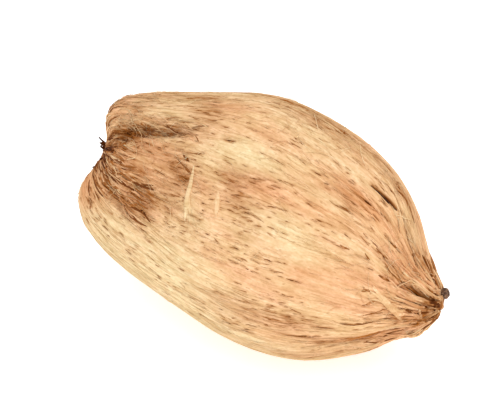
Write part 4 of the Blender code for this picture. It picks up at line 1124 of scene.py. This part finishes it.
def spike_tuft():
    """Dark pointed tufts round the stem scar: fibres that run together to a tip standing off the end."""
    run = np.linspace(0, 1, 9)[:, None]
    centres, radii, gaps, spaces = [], [], [], []
    for place, angle, along, out, parts in SPIKES:
        root = form(place, angle)
        away = np.array([0, -cos(radians(angle)), sin(radians(angle))])
        tip = root + np.array([-along, 0, 0]) + away * out
        side = np.cross(away, [1.0, 0, 0])
        for _ in range(parts):
            foot = root + side * strand_rng.normal(0, 1.0) + away * strand_rng.normal(0, 1.0)
            foot = foot + [SPIKE_SUNK, 0, 0]
            end = tip + side * strand_rng.normal(0, 0.2) + [strand_rng.uniform(0, 1.1), 0, 0]
            bow = away * strand_rng.normal(0, 0.5) + side * strand_rng.normal(0, 0.5)
            centres.append(foot * (1 - run) + end * run + bow * np.sin(pi * run))
            radii.append(strand_rng.uniform(0.3, 0.55) * (1 - run[:, 0]) ** 0.6 + 0.12)
            gaps.append(strand_rng.uniform(1.05, 1.5))
            spaces.append(np.array([[0, angle, strand_rng.uniform(0, 90)]]) + run * [8, 0, 0])
    centres = np.array(centres)
    outward = np.broadcast_to(SPIKE_FACING, centres.shape)
    layers = {"pale": 0.0, "orange": 0.0, "brown": 0.9, "hollow_shade": 0.0, "tone": 0.6}
    layers["gap"] = np.array(gaps)[:, None]
    spaces, radii = np.array(spaces), np.array(radii)
    return tubes("stem_spikes", centres, outward, spaces, radii, layers, sides=5, flat=0.85)


def nub(material):
    """The small dark withered ball beside the tip."""
    rings, columns = NUB_RINGS, NUB_MERIDIANS
    polar = np.linspace(0, pi, rings + 2)[1:-1, None]
    turn = (np.arange(columns) * 2 * pi / columns)[None]
    nub_rng = np.random.default_rng(SEED + 9)
    dents = np.zeros((rings, columns))
    for _ in range(NUB_DENTS):
        at = np.array([nub_rng.uniform(0.3, 2.8), nub_rng.uniform(0, 2 * pi)])
        gap = np.hypot(polar - at[0], np.sin(polar) * ((turn - at[1] + pi) % (2 * pi) - pi))
        dents = dents + nub_rng.uniform(-0.11, 0.06) * bump(gap, 0, nub_rng.uniform(0.15, 0.45))
    size = 1 + 0.05 * np.cos(7 * turn + 2.2 * np.sin(2 * polar)) * np.sin(polar) + dents
    out = np.sin(polar) * size
    ball = np.stack([np.cos(polar) * size, out * np.cos(turn), out * np.sin(turn)], -1)
    poles = np.array([[1, 0, 0], [-1, 0, 0]])
    points = np.vstack([ball.reshape(-1, 3), poles]) * NUB_RADII
    axes = np.array(directions(NUB_PLACE, NUB_ANGLE))
    centre = form(NUB_PLACE, NUB_ANGLE) + axes[2] * NUB_HEIGHT
    piece = new_piece("nub", to_frame(centre + points @ axes), ring_faces(rings, columns), material)
    new_layer(piece.data, "grain_space", points)
    return piece


def colour(red, green, blue):
    """Linear colour from sRGB values of 0 to 255."""
    values = np.array([red, green, blue]) / 255
    linear = np.where(values <= 0.04045, values / 12.92, ((values + 0.055) / 1.055) ** 2.4)
    return (*[float(value) for value in linear], 1.0)


class Nodes:
    """Short names for building a material's node tree."""

    def __init__(self, name):
        self.material = bpy.data.materials.new(name)
        self.material.use_nodes = True
        self.tree = self.material.node_tree
        self.shader = self.tree.nodes["Principled BSDF"]

    def new(self, kind, **settings):
        """A node with its settings."""
        node = self.tree.nodes.new("ShaderNode" + kind)
        for name, value in settings.items():
            setattr(node, name, value)
        return node

    def feed(self, socket, value):
        """Links another node's output to a socket, or sets the socket to a plain value."""
        if isinstance(value, (int, float, tuple)):
            socket.default_value = value
        else:
            self.tree.links.new(value, socket)

    def attribute(self, name, output="Fac"):
        return self.new("Attribute", attribute_name=name).outputs[output]

    def maths(self, operation, *values):
        node = self.new("Math", operation=operation)
        for socket, value in zip(node.inputs, values):
            self.feed(socket, value)
        return node.outputs[0]

    def times(self, *values):
        return self.maths("MULTIPLY", *values)

    def between(self, value, low, high, to_low=0.0, to_high=1.0):
        """A value's range from low to high, brought to another range and held inside it."""
        node = self.new("MapRange", clamp=True)
        for socket, number in zip(node.inputs, (value, low, high, to_low, to_high)):
            self.feed(socket, number)
        return node.outputs[0]

    def noise(self, space, scale, detail=2.0, roughness=0.5):
        """Noise over a space that is first stretched by scale, one value for each axis."""
        mapping = self.new("Mapping", vector_type="POINT")
        self.feed(mapping.inputs["Scale"], scale)
        self.feed(mapping.inputs["Vector"], space)
        node = self.new("TexNoise")
        for name, value in (
            ("Scale", 1.0), ("Detail", detail), ("Roughness", roughness), ("Vector", mapping.outputs[0]),
        ):
            self.feed(node.inputs[name], value)
        return node.outputs["Fac"]

    def mix(self, share, first, second, blend="MIX"):
        node = self.new("Mix", data_type="RGBA", blend_type=blend, clamp_factor=True)
        for socket, value in ((0, share), (6, first), (7, second)):
            self.feed(node.inputs[socket], value)
        return node.outputs[2]

    def warm(self, value):
        """A shade of grey that turns warmer as it darkens, as dry fibre does."""
        node = self.new("CombineColor")
        for socket, power in zip(node.inputs, (0.72, 1.0, 1.5)):
            self.feed(socket, self.maths("POWER", value, power))
        return node.outputs[0]

    def finished(self, skin, roughness, specular, relief=None, distance=0.0, strength=0.0):
        """The material with its colour, how rough and shiny it is, and fine relief where there is any."""
        self.feed(self.shader.inputs["Base Color"], skin)
        self.feed(self.shader.inputs["Roughness"], roughness)
        self.feed(self.shader.inputs["Specular IOR Level"], specular)
        if relief is not None:
            node = self.new("Bump")
            for name, value in (("Strength", strength), ("Distance", distance), ("Height", relief)):
                self.feed(node.inputs[name], value)
            self.feed(self.shader.inputs["Normal"], node.outputs[0])
        return self.material


CREAM = colour(238, 200, 152)
PEACH = colour(237, 188, 144)
PALE_YELLOW = colour(233, 212, 166)
TAN_ORANGE = colour(218, 154, 104)
FIBRE_BROWN = colour(162, 96, 34)
DEEP_BROWN = colour(98, 46, 6)
NEAR_BLACK = colour(52, 26, 12)
NUB_DARK = colour(62, 38, 26)
NUB_BROWN = colour(116, 80, 54)
NUB_PALE = colour(178, 138, 104)

# Noises that the husk's colours follow: grain length and width in millimetres, detail and roughness
HUSK_NOISES = {
    "streaks": (17, 2.1, 2.0, 0.5), "threads": (8, 0.8, 2.0, 0.55), "lines": (11, 0.6, 1.0, 0.5),
    "cloud": (30, 12, 3.0, 0.55), "blotch": (13, 6, 2.0, 0.55), "mottle": (5.5, 2.6, 2.0, 0.55),
    "flecks": (3.4, 1.0, 1.0, 0.5), "grit": (1.7, 1.2, 1.0, 0.5),
}


def husk_material():
    """Packed dry fibres: streaks along the lie, soft patches of colour, dark gaps, painted shade in hollows.
    """
    nodes = Nodes("husk_fibre")
    space = nodes.attribute("grain_space", "Vector")
    streaks, threads, lines, cloud, blotch, mottle, flecks, grit = (
        nodes.noise(space, (1 / length, 1 / width, 1 / width), detail, roughness)
        for length, width, detail, roughness in HUSK_NOISES.values()
    )
    skin = nodes.mix(nodes.between(cloud, 0.38, 0.62), CREAM, PEACH)
    pale = nodes.times(nodes.attribute("pale"), nodes.between(mottle, 0.3, 0.6, 1.0, 0.6))
    skin = nodes.mix(pale, skin, PALE_YELLOW)
    orange = nodes.times(nodes.attribute("orange"), nodes.between(streaks, 0.3, 0.65, 1.0, 0.5))
    skin = nodes.mix(orange, skin, TAN_ORANGE)
    patchy = nodes.between(mottle, 0.35, 0.62, 1.35, 0.4)
    stained = nodes.times(nodes.attribute("brown"), nodes.between(streaks, 0.35, 0.65, 1.3, 0.5))
    stained = nodes.times(nodes.times(stained, patchy), nodes.between(threads, 0.35, 0.65, 1.2, 0.8))
    skin = nodes.mix(nodes.maths("MINIMUM", stained, 1.0), skin, FIBRE_BROWN)
    thin = nodes.times(nodes.between(lines, 0.61, 0.71), nodes.between(mottle, 0.38, 0.6, 0.3, 0.02))
    skin = nodes.mix(thin, skin, FIBRE_BROWN)
    shade = nodes.between(streaks, 0.25, 0.75, 0.91, 1.07)
    for value, low, high, to_low, to_high in (
        (threads, 0.25, 0.75, 0.95, 1.05), (grit, 0.25, 0.75, 0.91, 1.09), (blotch, 0.3, 0.7, 1.10, 0.87),
        (mottle, 0.3, 0.7, 1.09, 0.89), (nodes.attribute("tone"), 0.0, 1.0, 1.10, 0.88),
    ):
        shade = nodes.times(shade, nodes.between(value, low, high, to_low, to_high))
    skin = nodes.mix(1.0, skin, nodes.warm(shade), "MULTIPLY")
    fleck = nodes.times(nodes.between(flecks, 0.63, 0.70), nodes.between(mottle, 0.36, 0.50, 0.55, 0.0))
    skin = nodes.mix(fleck, skin, FIBRE_BROWN)
    # Painted shade: hollows and the gaps between coarse fibres darken towards deep brown.
    sunk = nodes.times(nodes.between(nodes.attribute("hollow_shade"), 0.2, 1.0, 0.0, 0.8), patchy)
    skin = nodes.mix(nodes.maths("MINIMUM", sunk, 0.9), skin, DEEP_BROWN)
    # The gap layer darkens towards near black: the slits' darkness and part of the dark patches are painted
    # shade.
    gap = nodes.attribute("gap")
    for low, high, most, deeper in (
        (0.0, 0.5, 0.85, FIBRE_BROWN), (0.4, 0.95, 0.97, DEEP_BROWN), (1.0, 1.5, 1.0, NEAR_BLACK),
    ):
        skin = nodes.mix(nodes.between(gap, low, high, 0.0, most), skin, deeper)
    height = nodes.maths("ADD", nodes.times(threads, 0.6), nodes.times(streaks, 0.8))
    return nodes.finished(skin, roughness=0.85, specular=0.08, relief=height, distance=0.0006, strength=0.5)


def nub_material():
    """Withered dark skin with paler dry patches."""
    nodes = Nodes("nub_skin")
    space = nodes.attribute("grain_space", "Vector")
    blotches = nodes.noise(space, (0.5, 0.6, 0.6), 3.0, 0.6)
    wrinkles = nodes.noise(space, (0.7, 2.4, 2.4), 3.0, 0.6)
    skin = nodes.mix(nodes.between(blotches, 0.42, 0.62), NUB_DARK, NUB_BROWN)
    skin = nodes.mix(nodes.between(wrinkles, 0.5, 0.7, 0.0, 0.75), skin, NUB_PALE)
    return nodes.finished(skin, roughness=0.7, specular=0.35, relief=wrinkles, distance=0.0004, strength=0.8)


ALL_DASHES = all_dashes(np.random.default_rng(SEED + 1))
surface = Surface()
packed = husk_material()
husk = husk_piece(surface, packed)
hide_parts("husk")
strand_rng = np.random.default_rng(SEED + 3)
for row in LYING:
    lying_fibres(*row)
slivers()
drawn_gaps()
for row in COARSE:
    coarse_strands(*row)
hairs("loose_hairs", 560, HAIR_SPOTS, (5, 16), (0.1, 0.18), (0.15, 1.0), 60)
drawn_strands()
spike_tuft()
nub(nub_material())


def studio():
    """A pale floor and soft light from all round."""
    nodes = Nodes("floor_pale")
    speckle = nodes.noise(nodes.new("TexCoord").outputs["Object"], (60, 60, 60), 2.0)
    dim, bright = ((grey, grey, grey, 1) for grey in FLOOR_GREYS)
    tint = nodes.mix(nodes.between(speckle, 0.3, 0.7), dim, bright)
    nodes.feed(nodes.shader.inputs["Emission Color"], (1, 1, 1, 1))
    nodes.feed(nodes.shader.inputs["Emission Strength"], FLOOR_GLOW)
    corners = [(x * FLOOR_HALF, y * FLOOR_HALF, 0) for x, y in ((-1, -1), (1, -1), (1, 1), (-1, 1))]
    material = nodes.finished(tint, roughness=0.9, specular=0.5)
    new_mesh("floor", corners, [(0, 1, 2, 3)], material)

    world = bpy.data.worlds.new("studio")
    world.use_nodes = True
    world.node_tree.nodes["Background"].inputs["Color"].default_value = (1, 1, 1, 1)
    world.node_tree.nodes["Background"].inputs["Strength"].default_value = WORLD_LIGHT
    bpy.context.scene.world = world
    for name, place, power, size in LIGHTS:
        light = bpy.data.lights.new(name, "AREA")
        light.energy = power
        light.size = size
        lamp = new_object(name, light)
        lamp.location = place
        lamp.rotation_euler = (Vector(LIT_POINT) - Vector(place)).to_track_quat("-Z", "Y").to_euler()
    bpy.context.scene.view_settings.view_transform = "Standard"


def camera():
    """Looks down on the front of the husk, a little past its middle so that it sits as in the photo."""
    turn, rise = radians(CAMERA_AZIMUTH), radians(CAMERA_ELEVATION)
    back = Vector((sin(turn) * cos(rise), -cos(turn) * cos(rise), sin(rise)))
    right = Vector((cos(turn), sin(turn), 0))
    up = back.cross(right)
    whole = to_frame(form(np.linspace(0, 1, 90)[:, None], np.arange(0, 360, 2.5)[None])).reshape(-1, 3)
    middle = Vector((whole.max(0) + whole.min(0)) / 2)
    place = middle + back * CAMERA_DISTANCE
    aim = middle + right * CAMERA_AIM[0] + up * CAMERA_AIM[1]
    data = bpy.data.cameras.new("camera")
    data.lens = CAMERA_LENS
    data.sensor_width = CAMERA_SENSOR
    data.clip_start = CAMERA_NEAR
    view = new_object("camera", data)
    back = (place - aim).normalized()
    right = up.cross(back).normalized()
    turned_to = Matrix((right, back.cross(right), back)).transposed().to_4x4()
    view.matrix_world = Matrix.Translation(place) @ turned_to
    bpy.context.scene.camera = view


studio()
camera()
